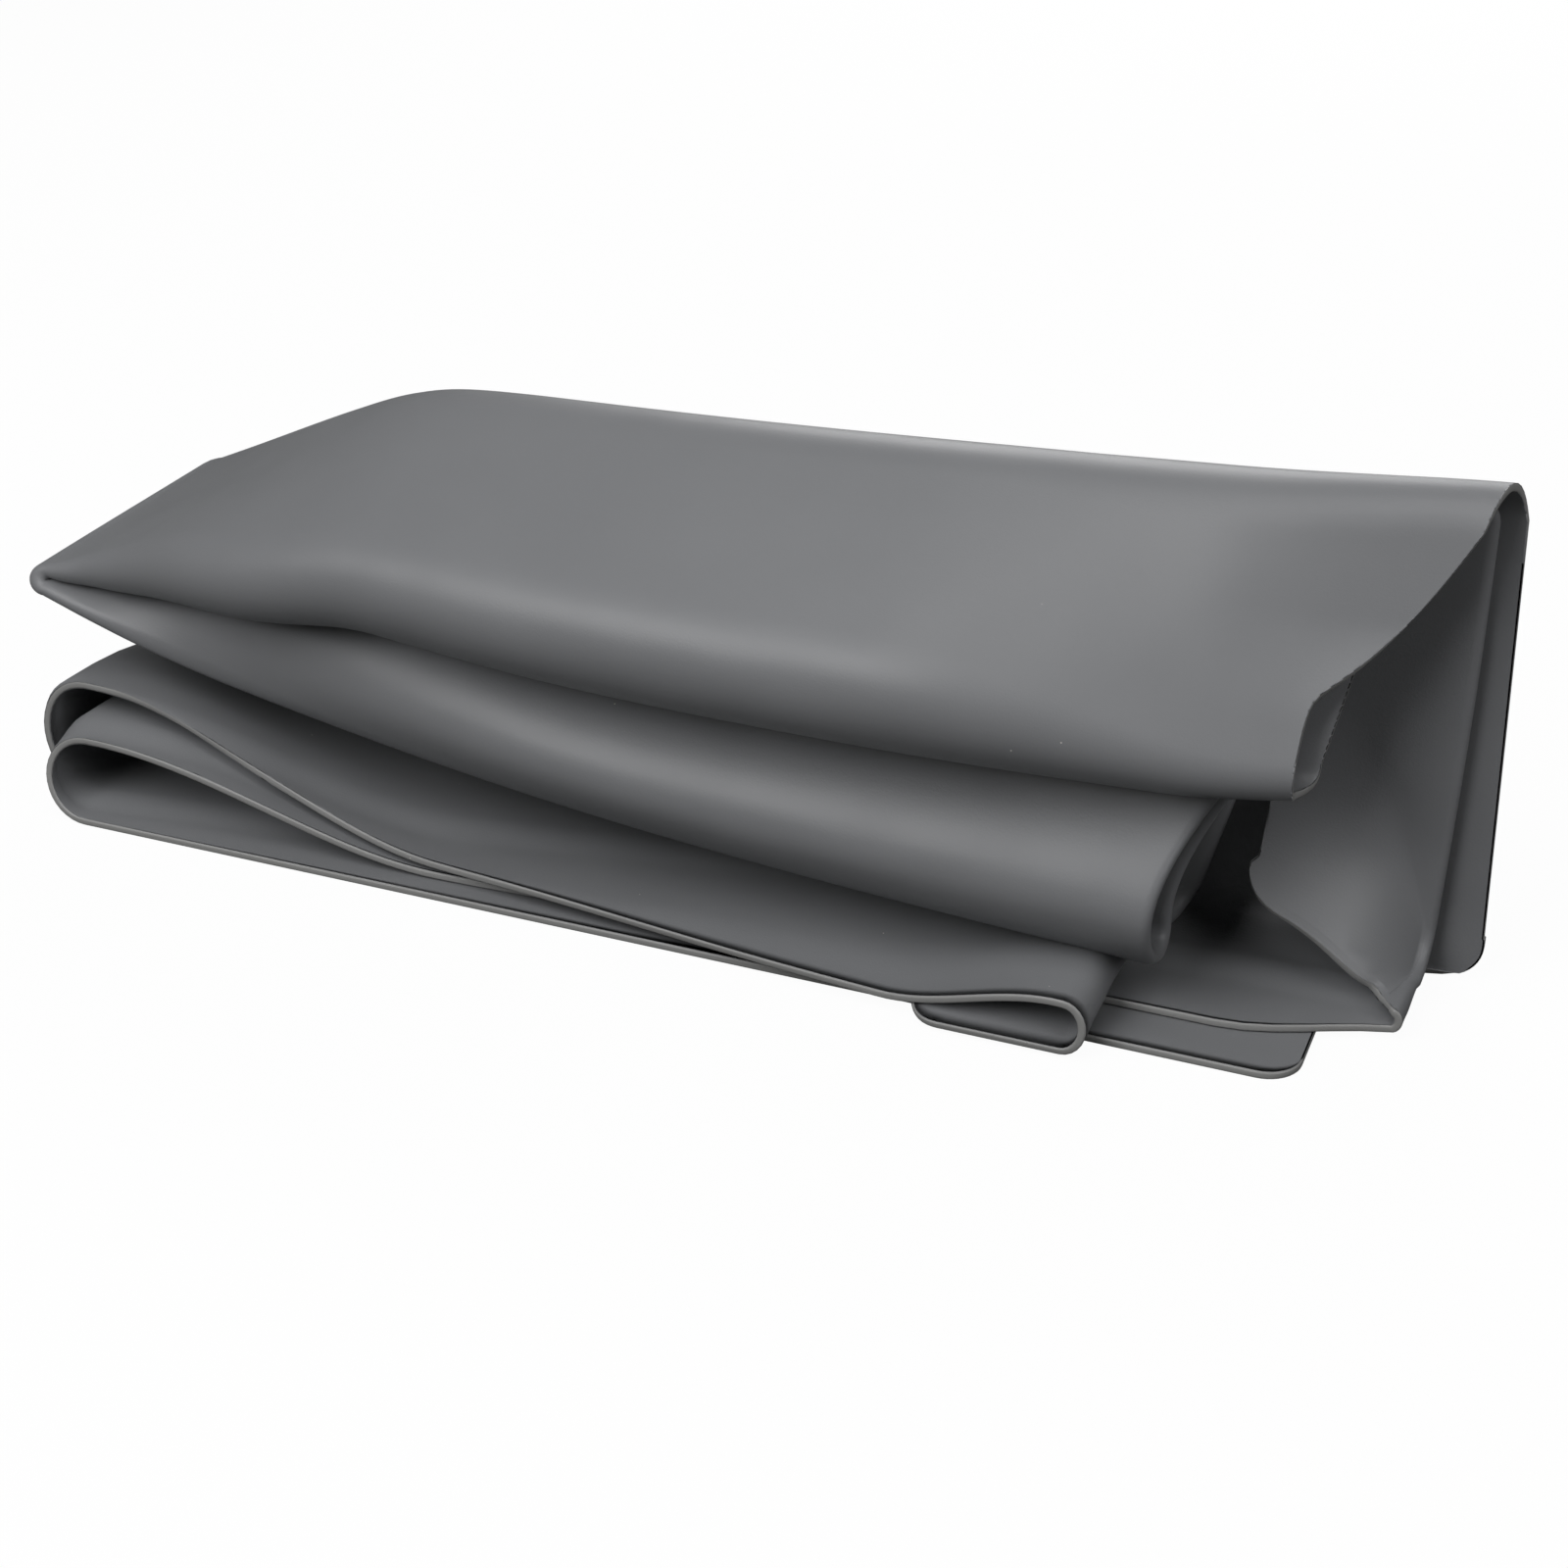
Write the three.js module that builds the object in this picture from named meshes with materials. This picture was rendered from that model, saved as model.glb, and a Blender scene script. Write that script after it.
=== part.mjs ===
// Silicone pastry mat, folded for storage and sprung part open.
//
// One rectangular sheet with rounded corners, folded four times. Going round the section, each strip
// runs from a long edge along the ground, up a back wall, over a ridge and down a roof to a front roll,
// and back the same way to the other long edge. Going along X, the top strip runs left from its cut end,
// turns under at the left fold, runs right as the inner strip, and ends in a flap turned back inside.
// Millimetres, +X right, +Y back, +Z up. The form is laid out from the cut end's ridge and then moved
// so that the origin is on the ground at the middle of its footprint.
import * as THREE from 'three';

// The sheet
const THICKNESS = 1.5;
const LAYER_GAP = 0.7;             // air between layers that lie together
const CORNER_RADIUS = 7;
const FLAP_LENGTH = 30;

// Stations along X
const RIDGE_END_X = 146;           // ridge at the cut end
const LEFT_FOLD_X = -153;          // outside of the left fold
const RIDGE_KNEE_X = -70;          // where the ridge starts to fall to the left fold

// Back wall and ridge, outer faces
const WALL_Y = 21;                 // at the cut end
const WALL_SWEEP = 53;             // how much further back the wall lies at the left fold
const WALL_SWEEP_POWER = 4;
const RIDGE_HEIGHT = 101;
const RIDGE_SLOPE = 11;            // gentle fall of the ridge over the whole length
const RIDGE_DROP = 35;             // steep fall between the knee and the left fold
const RIDGE_KNEE_SOFTNESS = 0.18;
const ARCH_RADIUS = 4.6;           // at the cut end
const ARCH_FLAP_ROOM = 4.5;        // added where the flap lies inside
const ARCH_FLAP_SHARE = 0.16;      // share of the length over which that room opens
const ARCH_SPREAD = 4;             // added at the left fold
const LEAST_SLOPE = 0.02;          // of the roof, radians
const HEEL_RADIUS = 9;             // wall to ground, inner strip, cut end
const HEEL_SPREAD = 11;
const OUTER_HEEL_RADIUS = 1;       // wall to ground, outermost layer, cut end
const OUTER_HEEL_SPREAD = 14;

// Roof and front rolls
const LOWER_ROLL_Y = -18;          // end of the inner strip's roof at the cut end
const LOWER_ROLL_Y_SHIFT = 8;
const LOWER_ROLL_HEIGHT = 10;
const LOWER_ROLL_RISE = 15.5;
const LOWER_ROLL_TIP_RISE = 24.5;
const LOWER_ROLL_TIP_POWER = 5;
const ROOF_BOW = 2;
const ROOF_BOW_SPREAD = 11;
const BOW_SCALE = 27 / 4;          // makes the bow's highest point 1
const TIP_POWER = 6;               // for terms that act only near the left fold
const UPPER_ROLL_RADIUS = 6.6;
const UPPER_ROLL_TIP_RADIUS = 1.2;
const UPPER_ROLL_SHARE = 0.545;    // how far down the roof the upper roll ends
const UPPER_ROLL_SLANT = 0.03;
const UPPER_ROLL_TIP_SHARE = 0.97;
const UPPER_ROLL_FADE = 45;        // length over which the roll's swell dies out
const UPPER_ROLL_END_FADE = 17;    // at the cut end
const UPPER_ROLL_END_HOLD = 7;     // length there over which the swell stays full
const UPPER_ROLL_END_SHARE = 0.3;
const UPPER_ROLL_FADE_LOSS = 0.55;
const ROOF_GAP = 2.2;              // further air between the two strips on the roof
const ROOF_GAP_SHARE = 0.25;
const KNEE_GAP = { air: 1.3, x: -40, run: 50 };   // further air between the strips past the knee

// Long edges on the ground
const TOP_EDGE_Y = -28.6;          // front edge of the top strip's lower layer, cut end
const TOP_EDGE_SLANT = 1.6;
const HIDDEN_EDGE_Y = 20;          // edge of the lowest layer at the cut end
const HIDDEN_EDGE_SLANT = 36;
const EDGE_DROP_LEAD = 1.5;        // a layer steps down this far past an edge below it
const EDGE_DROP_RUN = 8;           // and over this length
const INNER_EDGE = { y: -23.5, slant: 6.5, slantX: -100, slantRun: 190, turn: 11, turnX: 110, turnRun: 36 };
const COVER_EDGE = { leftX: -140, leftY: -14, rightX: 90, rightY: -36 };
const COVER_SETTLE = { lead: 1, run: 12, air: 0.8 };

// Loops sprung open at the left and right folds
const LOWER_LOOP_LIFT = 15.5;
const UPPER_LOOP_LIFT = 19.5;
const LOOP_START_X = -50;
const LOOP_RUN = 85;
const LOOP_REACH = 45;             // length on the ground over which a left loop opens
const COVER_REACH = 28;            // and over which the cover layer and the flap settle
const LOOP_WALL_SHARE = 0.3;       // share of the lift that is left on the wall
const LOOP_WALL_RUN = 30;
const RIGHT_LOOP_LIFT = 3;
const RIGHT_LOOP_X = 10;
const RIGHT_LOOP_RUN = 55;
const MOUTH = { open: 7, x: 30, run: 66, fade: 32 };   // the lower roll's end springs open

// End flap, and the space it needs inside the inner strip
const FOLD_GAP = 4.6;              // between the inner strip's layers, left half
const FOLD_TIP_GAP = 2.8;          // at the left fold
const TIP_RUN = 60;                // length over which the layers close up towards the left fold
const FLAP_AIR = 0.6;
const FLAP_AIR_RUN = 50;
const FLAP_LIFT_RADIUS = 48;       // how far the flap's foot curls off the ground
const FLAP_LIFT_RUN = 12;
const FLAP_SETTLE_RUN = 9;
const FLAP_FOOT_SHARE = 0.44;
const FLAP_EDGE_Y = -36;           // long edge of the flap under the cover layer
const FLAP_LOW_HEIGHT = 1.6;
const FLAP_STEP = { run: 7.5, y: -25.5, upperRun: 8 };

// Right ends
const TOP_END_X = 120;             // cut end at the upper roll
const TOP_END_ROOF = 29;           // how far it runs right up the roof
const TOP_END_TURN = { reach: 0.05, softness: 0.06 };   // where it leaves the roll, and how softly
const TOP_END_WALL = 3;            // and down the wall
const TOP_END_LEAN = 3.2;          // how far the lower layer's end lies right of the upper one's
const TOP_END_FLOOR = 3.8;         // and how far it runs right from there
const TOP_END_FLOOR_REACH = 0.16;
const INNER_END_X = 98;            // right fold at the lower roll
const INNER_END_ROOF = 46;
const INNER_END_POWER = 2.2;
const INNER_END_BACK = 3;
const COVER_END_LEAN = 4;          // how far its hidden layer lies right of that on the roof
const COVER_END_BACK = 12;         // and how far back it runs to the long edge

// Fold turns: width of each turn where it is pressed flat and how much it opens, and their spacing
const LEFT_TURN = {
  outer: 3.8, outerOpen: 8.4, inner: 1.5, innerOpen: 7.8, spacing: 2.7, spacingOpen: 5.6, setBack: 2.4,
};
const RIGHT_TURN = { tight: 1.2, open: 2.8 };
const OPEN_REACH = 0.45;           // reach from which the turns spring open

// Mesh steps, and how far out along the strip each piece of the section ends
const STEPS = { roof: 7, arch: 4, wall: 2, heel: 3, ground: 2, step: 2, front: 2, roll: 6 };
const REACH = { roof: 0.3, arch: 0.38, wall: 0.72, heel: 0.8, ground: 0.86, step: 0.92, front: 1 };
const ROWS = { corner: 3, end: 4, middle: 13, join: 2, left: 6, right: 4, flap: 4 };
const MIDDLE_LEFT_X = -122;        // both strips share their rows between these stations
const MIDDLE_RIGHT_X = 70;
const LEAST_STEP = 0.5;

const PITCH = THICKNESS + LAYER_GAP;
const HALF = THICKNESS / 2;
const LENGTH = RIDGE_END_X - LEFT_FOLD_X;
const QUARTER = Math.PI / 2;

const clamp = (value, low, high) => Math.min(Math.max(value, low), high);
const mix = (from, to, share) => from + (to - from) * share;
const shareOf = (value, from, to) => (value - from) / (to - from);

function ease(value) {
  const v = clamp(value, 0, 1);
  return v * v * (3 - 2 * v);
}

const softRamp = (value, softness) => (value + Math.hypot(value, softness)) / 2;

// Share of the way from the cut end to the left fold.
const leftShare = (x) => clamp((RIDGE_END_X - x) / LENGTH, 0, 1);

// How far the layers are spread, from 0 at the left fold to 1.
const tipShare = (x) => ease((x - LEFT_FOLD_X) / TIP_RUN);

const kneeGap = (x) => KNEE_GAP.air * ease((KNEE_GAP.x - x) / KNEE_GAP.run) * tipShare(x);

// From the reference section out to the outermost face, at station x.
const outerStack = (x) => HALF + 2 * PITCH + kneeGap(x);

// Section of one layer at station x: an offset of the reference section, as lines and arcs.
// Lengths along it start where the roof meets the arch and are negative down the roof.
function section(x, offset, heelRadius) {
  const k = leftShare(x);
  const archRadius = ARCH_RADIUS + ARCH_FLAP_ROOM * ease(k / ARCH_FLAP_SHARE) + ARCH_SPREAD * k * k;
  const wallY = WALL_Y + WALL_SWEEP * k ** WALL_SWEEP_POWER - outerStack(x);
  const knee = softRamp((RIDGE_KNEE_X - x) / (RIDGE_KNEE_X - LEFT_FOLD_X), RIDGE_KNEE_SOFTNESS);
  const topZ = RIDGE_HEIGHT - RIDGE_SLOPE * k - RIDGE_DROP * knee - outerStack(x);
  const rollY = LOWER_ROLL_Y + LOWER_ROLL_Y_SHIFT * k * k;
  const rollZ = LOWER_ROLL_HEIGHT + LOWER_ROLL_RISE * k + LOWER_ROLL_TIP_RISE * k ** LOWER_ROLL_TIP_POWER;
  const centreY = wallY - archRadius;
  const centreZ = topZ - archRadius;
  const run = centreY - rollY;
  const fall = centreZ - rollZ;
  const lean = Math.atan2(fall, run) + Math.asin(archRadius / Math.hypot(run, fall));
  const slope = Math.max(lean, LEAST_SLOPE);
  const roof = Math.sqrt(run * run + fall * fall - archRadius * archRadius);
  const radius = archRadius + offset;
  const groundZ = outerStack(x) - offset;
  const archEnd = radius * (slope + QUARTER);
  const heelStart = archEnd + centreZ - groundZ - heelRadius;
  const groundStart = heelStart + heelRadius * QUARTER;
  return {
    k, slope, roof, radius, centreY, centreZ, groundZ, heelRadius, archEnd, heelStart, groundStart,
    wallY: centreY + radius,
    bow: (ROOF_BOW + ROOF_BOW_SPREAD * k) * (1 - k ** TIP_POWER),
  };
}

const lengthAtY = (s, y) => s.groundStart + s.wallY - s.heelRadius - y;
const yAtLength = (s, length) => s.wallY - s.heelRadius - (length - s.groundStart);

// Point of a section at a length along it, pushed out by a further amount.
function sectionPoint(s, length, push) {
  if (length <= 0) {
    const share = -length / s.roof;
    const out = s.radius + push + s.bow * BOW_SCALE * share * share * (1 - share);
    return [
      s.centreY - out * Math.sin(s.slope) + length * Math.cos(s.slope),
      s.centreZ + out * Math.cos(s.slope) + length * Math.sin(s.slope),
    ];
  }
  if (length <= s.archEnd) {
    const angle = length / s.radius - s.slope;
    const out = s.radius + push;
    return [s.centreY + out * Math.sin(angle), s.centreZ + out * Math.cos(angle)];
  }
  if (length <= s.heelStart) return [s.wallY + push, s.centreZ - (length - s.archEnd)];
  const turn = Math.min((length - s.heelStart) / s.heelRadius, QUARTER);
  const past = Math.max(length - s.groundStart, 0);
  const out = s.heelRadius + push;
  return [
    s.wallY - s.heelRadius + out * Math.cos(turn) - past,
    s.groundZ + s.heelRadius - out * Math.sin(turn),
  ];
}

// Point of a front roll: bulged on from the end of the roof, in the roof's own direction there.
function rollPoint(s, length, push, bulge) {
  const share = -length / s.roof;
  const drift = s.bow * BOW_SCALE * share * (2 - 3 * share) / s.roof;
  const [y, z] = sectionPoint(s, length, push + drift * bulge);
  return [y - bulge * Math.cos(s.slope), z - bulge * Math.sin(s.slope)];
}

// Columns of the mesh: one long edge, its half of the section, the roll, the other half, the other edge.
// side is -1 on the half whose outer layer is uppermost, +1 on the other, and between them on the roll.
function makeColumns() {
  const half = [{ piece: 'roof', share: 0, reach: 0 }];
  let reached = 0;
  for (const piece of Object.keys(REACH)) {
    for (let i = 1; i <= STEPS[piece]; i += 1) {
      const share = i / STEPS[piece];
      half.push({ piece, share, reach: mix(reached, REACH[piece], share) });
    }
    reached = REACH[piece];
  }
  half.forEach((column, index) => { column.left = half.length - 1 - index; });
  const columns = half.map((column) => ({ ...column, side: -1 })).reverse();
  for (let i = 1; i < STEPS.roll; i += 1) {
    const angle = (i / STEPS.roll) * Math.PI - QUARTER;
    columns.push({ piece: 'roll', reach: 0, side: Math.sin(angle), bend: Math.cos(angle) });
  }
  return columns.concat(half.map((column) => ({ ...column, side: 1 })));
}

// Length along a section for a column, between the roll and the layer's edge.
function columnLength(x, s, column, rollLength, edgeLength) {
  const stepStart = dropStart(x, s);
  const stepEnd = stepStart + EDGE_DROP_RUN;
  const ends = {
    roof: [rollLength, 0],
    arch: [0, s.archEnd],
    wall: [s.archEnd, s.heelStart],
    heel: [s.heelStart, s.groundStart],
    ground: [s.groundStart, stepStart],
    step: [stepStart, stepEnd],
    front: [stepEnd, Math.max(edgeLength, stepEnd)],
  };
  const [from, to] = ends[column.piece];
  return Math.min(mix(from, to, column.share), edgeLength - column.left * LEAST_STEP);
}

// How far a rounded corner draws the long edge back, at a distance from the cut end.
function cornerCut(distance) {
  const short = clamp(CORNER_RADIUS - distance, 0, CORNER_RADIUS);
  return CORNER_RADIUS - Math.sqrt(CORNER_RADIUS ** 2 - short ** 2);
}

const hiddenEdgeY = (x) => HIDDEN_EDGE_Y - HIDDEN_EDGE_SLANT * leftShare(x);
const topEdgeY = (x) => TOP_EDGE_Y + TOP_EDGE_SLANT * leftShare(x);

// Step down past the edge of the lowest layer, for the layers that lie on it.
const dropStart = (x, s) => Math.max(lengthAtY(s, hiddenEdgeY(x)), s.groundStart) + EDGE_DROP_LEAD;
const edgeDrop = (x, s, length) => PITCH * ease((length - dropStart(x, s)) / EDGE_DROP_RUN);

const heelOf = (x, offset) => HEEL_RADIUS + HEEL_SPREAD * leftShare(x) + offset;
const outerHeel = (x) => OUTER_HEEL_RADIUS + OUTER_HEEL_SPREAD * leftShare(x);

const roofGap = (x, s, length) => ROOF_GAP * ease(-length / (ROOF_GAP_SHARE * s.roof)) * tipShare(x);

function upperRollShare(k) {
  return UPPER_ROLL_SHARE + UPPER_ROLL_SLANT * k + (UPPER_ROLL_TIP_SHARE - UPPER_ROLL_SHARE) * k ** TIP_POWER;
}

// Top strip at station x, a distance from its cut end.
function topPoint(x, column, distance) {
  const k = leftShare(x);
  const roll = mix(UPPER_ROLL_RADIUS, UPPER_ROLL_TIP_RADIUS, k ** 3);
  const longFade = UPPER_ROLL_FADE * (1 - UPPER_ROLL_FADE_LOSS * k);
  const along = ease(k / UPPER_ROLL_END_SHARE);
  const fade = mix(UPPER_ROLL_END_FADE, longFade, along);
  const hold = mix(UPPER_ROLL_END_HOLD, 0, along);
  if (column.piece === 'roll') {
    const s = section(x, 0, heelOf(x, 0));
    const length = -s.roof * upperRollShare(k) + roll;
    const push = PITCH + kneeGap(x) + roofGap(x, s, length) + roll - roll * column.side;
    return rollPoint(s, length, push, roll * column.bend);
  }
  if (column.side < 0) {
    const s = section(x, 2 * PITCH + kneeGap(x), outerHeel(x));
    const start = -s.roof * upperRollShare(k) + roll;
    const edge = Math.max(lengthAtY(s, hiddenEdgeY(x)), s.heelStart) - cornerCut(distance);
    const length = columnLength(x, s, column, start, edge);
    const swell = (2 * roll - PITCH) * (1 - ease((length - start - hold) / fade));
    return sectionPoint(s, length, swell + roofGap(x, s, length));
  }
  const offset = PITCH + kneeGap(x);
  const s = section(x, offset, heelOf(x, offset));
  const start = -s.roof * upperRollShare(k) + roll;
  const length = columnLength(x, s, column, start, lengthAtY(s, topEdgeY(x)) - cornerCut(distance));
  return sectionPoint(s, length, edgeDrop(x, s, length) + roofGap(x, s, length));
}

// Gap between the inner strip's two layers: wide enough for the flap where that lies inside.
const innerGap = (x) => mix(
  mix(FOLD_TIP_GAP, FOLD_GAP, tipShare(x)), 3 * PITCH + FLAP_AIR, ease(x / FLAP_AIR_RUN));
const mouthOpen = (x) => MOUTH.open * ease((x - MOUTH.x) / MOUTH.run);
const floorShare = (s, length, reach) => ease((length - s.heelStart) / (s.heelRadius * QUARTER + reach));

// Inward push of the layers behind the lower roll's mouth, which dies out up the roof.
const mouthPush = (x, length, start) => mouthOpen(x) * (1 - ease((length - start) / MOUTH.fade));

// Lift of a left loop, which dies out up the wall and along the strip.
function loopLift(lift, x, s, length) {
  const onWall = ease((length - s.archEnd) / LOOP_WALL_RUN);
  const open = ease((LOOP_START_X - x) / LOOP_RUN);
  return lift * open * mix(LOOP_WALL_SHARE, 1, floorShare(s, length, LOOP_REACH)) * onWall;
}

function innerEdgeY(x) {
  const slant = INNER_EDGE.slant * ease((x - INNER_EDGE.slantX) / INNER_EDGE.slantRun);
  return INNER_EDGE.y + slant + INNER_EDGE.turn * ease((x - INNER_EDGE.turnX) / INNER_EDGE.turnRun);
}

function coverEdgeY(x) {
  const share = (x - COVER_EDGE.leftX) / (COVER_EDGE.rightX - COVER_EDGE.leftX);
  return mix(COVER_EDGE.leftY, COVER_EDGE.rightY, share);
}

// Inner strip at station x.
function innerPoint(x, column) {
  const gap = innerGap(x);
  const roll = (gap + mouthOpen(x)) / 2;
  if (column.piece === 'roll') {
    const s = section(x, 0, heelOf(x, 0));
    return rollPoint(s, -s.roof + roll, -roll + roll * column.side, roll * column.bend);
  }
  if (column.side > 0) {
    const s = section(x, 0, heelOf(x, 0));
    const length = columnLength(x, s, column, -s.roof + roll, lengthAtY(s, innerEdgeY(x)));
    return sectionPoint(s, length, edgeDrop(x, s, length) - loopLift(LOWER_LOOP_LIFT, x, s, length));
  }
  const s = section(x, -gap, heelOf(x, -gap));
  const length = columnLength(x, s, column, -s.roof + roll, lengthAtY(s, coverEdgeY(x)));
  const share = floorShare(s, length, COVER_REACH);
  const past = innerEdgeY(x) - COVER_SETTLE.lead - yAtLength(s, length);
  const settle = gap - PITCH - COVER_SETTLE.air + PITCH * ease(past / COVER_SETTLE.run);
  const lift = RIGHT_LOOP_LIFT * ease((x - RIGHT_LOOP_X) / RIGHT_LOOP_RUN);
  const push = (settle - lift + edgeDrop(x, s, length)) * share;
  const inward = loopLift(UPPER_LOOP_LIFT, x, s, length) + mouthPush(x, length, -s.roof + roll);
  return sectionPoint(s, length, push - inward);
}

// End flap at a distance back from the right fold.
function flapPoint(x, column, distance) {
  const gap = innerGap(x);
  const cut = cornerCut(FLAP_LENGTH - distance);
  const mouth = (gap + mouthOpen(x)) / 2;
  const roll = mouth - PITCH;
  if (column.piece === 'roll') {
    const s = section(x, 0, heelOf(x, 0));
    return rollPoint(s, -s.roof + mouth, -mouth + roll * column.side, roll * column.bend);
  }
  if (column.side > 0) {
    const lift = 1 - Math.exp(-distance / FLAP_LIFT_RUN);
    const s = section(x, -PITCH, heelOf(x, -PITCH) + FLAP_LIFT_RADIUS * lift);
    const settle = Math.exp(-distance / FLAP_SETTLE_RUN);
    const foot = s.heelStart + s.heelRadius * QUARTER * mix(FLAP_FOOT_SHARE, 1, settle);
    const edge = foot + Math.max(s.wallY - s.heelRadius - innerEdgeY(x), 0) * settle - cut;
    return sectionPoint(s, columnLength(x, s, column, -s.roof + mouth, edge), 0);
  }
  const s = section(x, PITCH - gap, heelOf(x, PITCH - gap));
  const length = columnLength(x, s, column, -s.roof + mouth, lengthAtY(s, FLAP_EDGE_Y) - cut);
  const y = yAtLength(s, length);
  const firstStep = PITCH * ease((y - FLAP_EDGE_Y) / FLAP_STEP.run);
  const secondStep = PITCH * ease((y - FLAP_STEP.y) / FLAP_STEP.upperRun);
  const low = FLAP_LOW_HEIGHT + firstStep + secondStep;
  const settle = (s.groundZ - low) * floorShare(s, length, COVER_REACH);
  return sectionPoint(s, length, settle - mouthPush(x, length, -s.roof + mouth));
}

// Ends of the strips, and the turns of their folds, for each column.
function topEnd(column) {
  const { reach } = column;
  if (column.side > 0) {
    return TOP_END_X + TOP_END_LEAN * ease(column.side)
      + TOP_END_FLOOR * clamp(reach / TOP_END_FLOOR_REACH, 0, 1);
  }
  const climb = softRamp(shareOf(reach, TOP_END_TURN.reach, REACH.arch), TOP_END_TURN.softness);
  const roof = TOP_END_ROOF * Math.min(climb, 1);
  const wall = TOP_END_WALL * clamp(shareOf(reach, REACH.arch, REACH.wall), 0, 1);
  return TOP_END_X + roof + wall;
}

function innerEnd(column) {
  if (column.side < 0) {
    return INNER_END_X + COVER_END_LEAN * ease(column.reach / REACH.roof) - COVER_END_BACK * column.reach;
  }
  return INNER_END_X + INNER_END_ROOF * ease(column.reach / REACH.arch) ** INNER_END_POWER
    - INNER_END_BACK * openShare(column);
}

const openShare = (column) => ease((column.reach - OPEN_REACH) / (1 - OPEN_REACH));
const innerShare = (column) => ease((column.side + 1) / 2);

function leftTurn(column) {
  const outer = LEFT_TURN.outer + LEFT_TURN.outerOpen * openShare(column);
  const inner = LEFT_TURN.inner + LEFT_TURN.innerOpen * openShare(column);
  return mix(outer, inner, innerShare(column));
}

function leftStart(column) {
  const spacing = LEFT_TURN.spacing + LEFT_TURN.spacingOpen * openShare(column);
  return LEFT_FOLD_X + LEFT_TURN.setBack * openShare(column) + spacing * innerShare(column) + leftTurn(column);
}

const rightTurn = (column) => RIGHT_TURN.tight + (column.side < 0 ? RIGHT_TURN.open * openShare(column) : 0);
const rightStart = (column) => innerEnd(column) - rightTurn(column);

// Mid-surface of the whole sheet, row by row from one cut end to the other.
function sheetRows(columns) {
  const rows = [];
  const addRow = (point) => rows.push(columns.map((column) => new THREE.Vector3(...point(column))));
  const addRun = (count, from, to, point) => {
    for (let i = 0; i < count; i += 1) {
      addRow((column) => {
        const x = mix(from(column), to(column), i / count);
        return [x, ...point(x, column)];
      });
    }
  };
  const addTurn = (count, x, width, from, to) => {
    for (let i = 0; i < count; i += 1) {
      const angle = Math.PI * i / count;
      const share = (1 - Math.cos(angle)) / 2;
      addRow((column) => {
        const [fromY, fromZ] = from(x(column), column);
        const [toY, toZ] = to(x(column), column);
        return [x(column) + width(column) * Math.sin(angle), mix(fromY, toY, share), mix(fromZ, toZ, share)];
      });
    }
  };
  const cornerDepth = (i) => CORNER_RADIUS * (1 - Math.cos(QUARTER * i / ROWS.corner));
  const top = (x, column) => topPoint(x, column, topEnd(column) - x);
  const flap = (x, column) => flapPoint(x, column, rightStart(column) - x);
  const flapEnd = (column) => rightStart(column) - FLAP_LENGTH;
  const middleLeft = () => MIDDLE_LEFT_X;
  const middleRight = () => MIDDLE_RIGHT_X;
  for (let i = 0; i < ROWS.corner; i += 1) {
    addRow((column) => {
      const x = topEnd(column) - cornerDepth(i);
      return [x, ...top(x, column)];
    });
  }
  addRun(ROWS.end, (column) => topEnd(column) - CORNER_RADIUS, middleRight, top);
  addRun(ROWS.middle, middleRight, middleLeft, top);
  addRun(ROWS.join, middleLeft, leftStart, top);
  addTurn(ROWS.left, leftStart, (column) => -leftTurn(column), top, innerPoint);
  addRun(ROWS.join, leftStart, middleLeft, innerPoint);
  addRun(ROWS.middle, middleLeft, middleRight, innerPoint);
  addRun(ROWS.end, middleRight, rightStart, innerPoint);
  addTurn(ROWS.right, rightStart, rightTurn, innerPoint, flap);
  addRun(ROWS.flap, rightStart, (column) => flapEnd(column) + CORNER_RADIUS, flap);
  for (let i = ROWS.corner; i >= 0; i -= 1) {
    addRow((column) => {
      const x = flapEnd(column) + cornerDepth(i);
      return [x, ...flap(x, column)];
    });
  }
  return rows;
}

// Direction of a row or column at its middle point, from the points before and after it.
function tangent(before, middle, after) {
  const into = new THREE.Vector3().subVectors(middle, before).normalize();
  return new THREE.Vector3().subVectors(after, middle).normalize().add(into);
}

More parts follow.
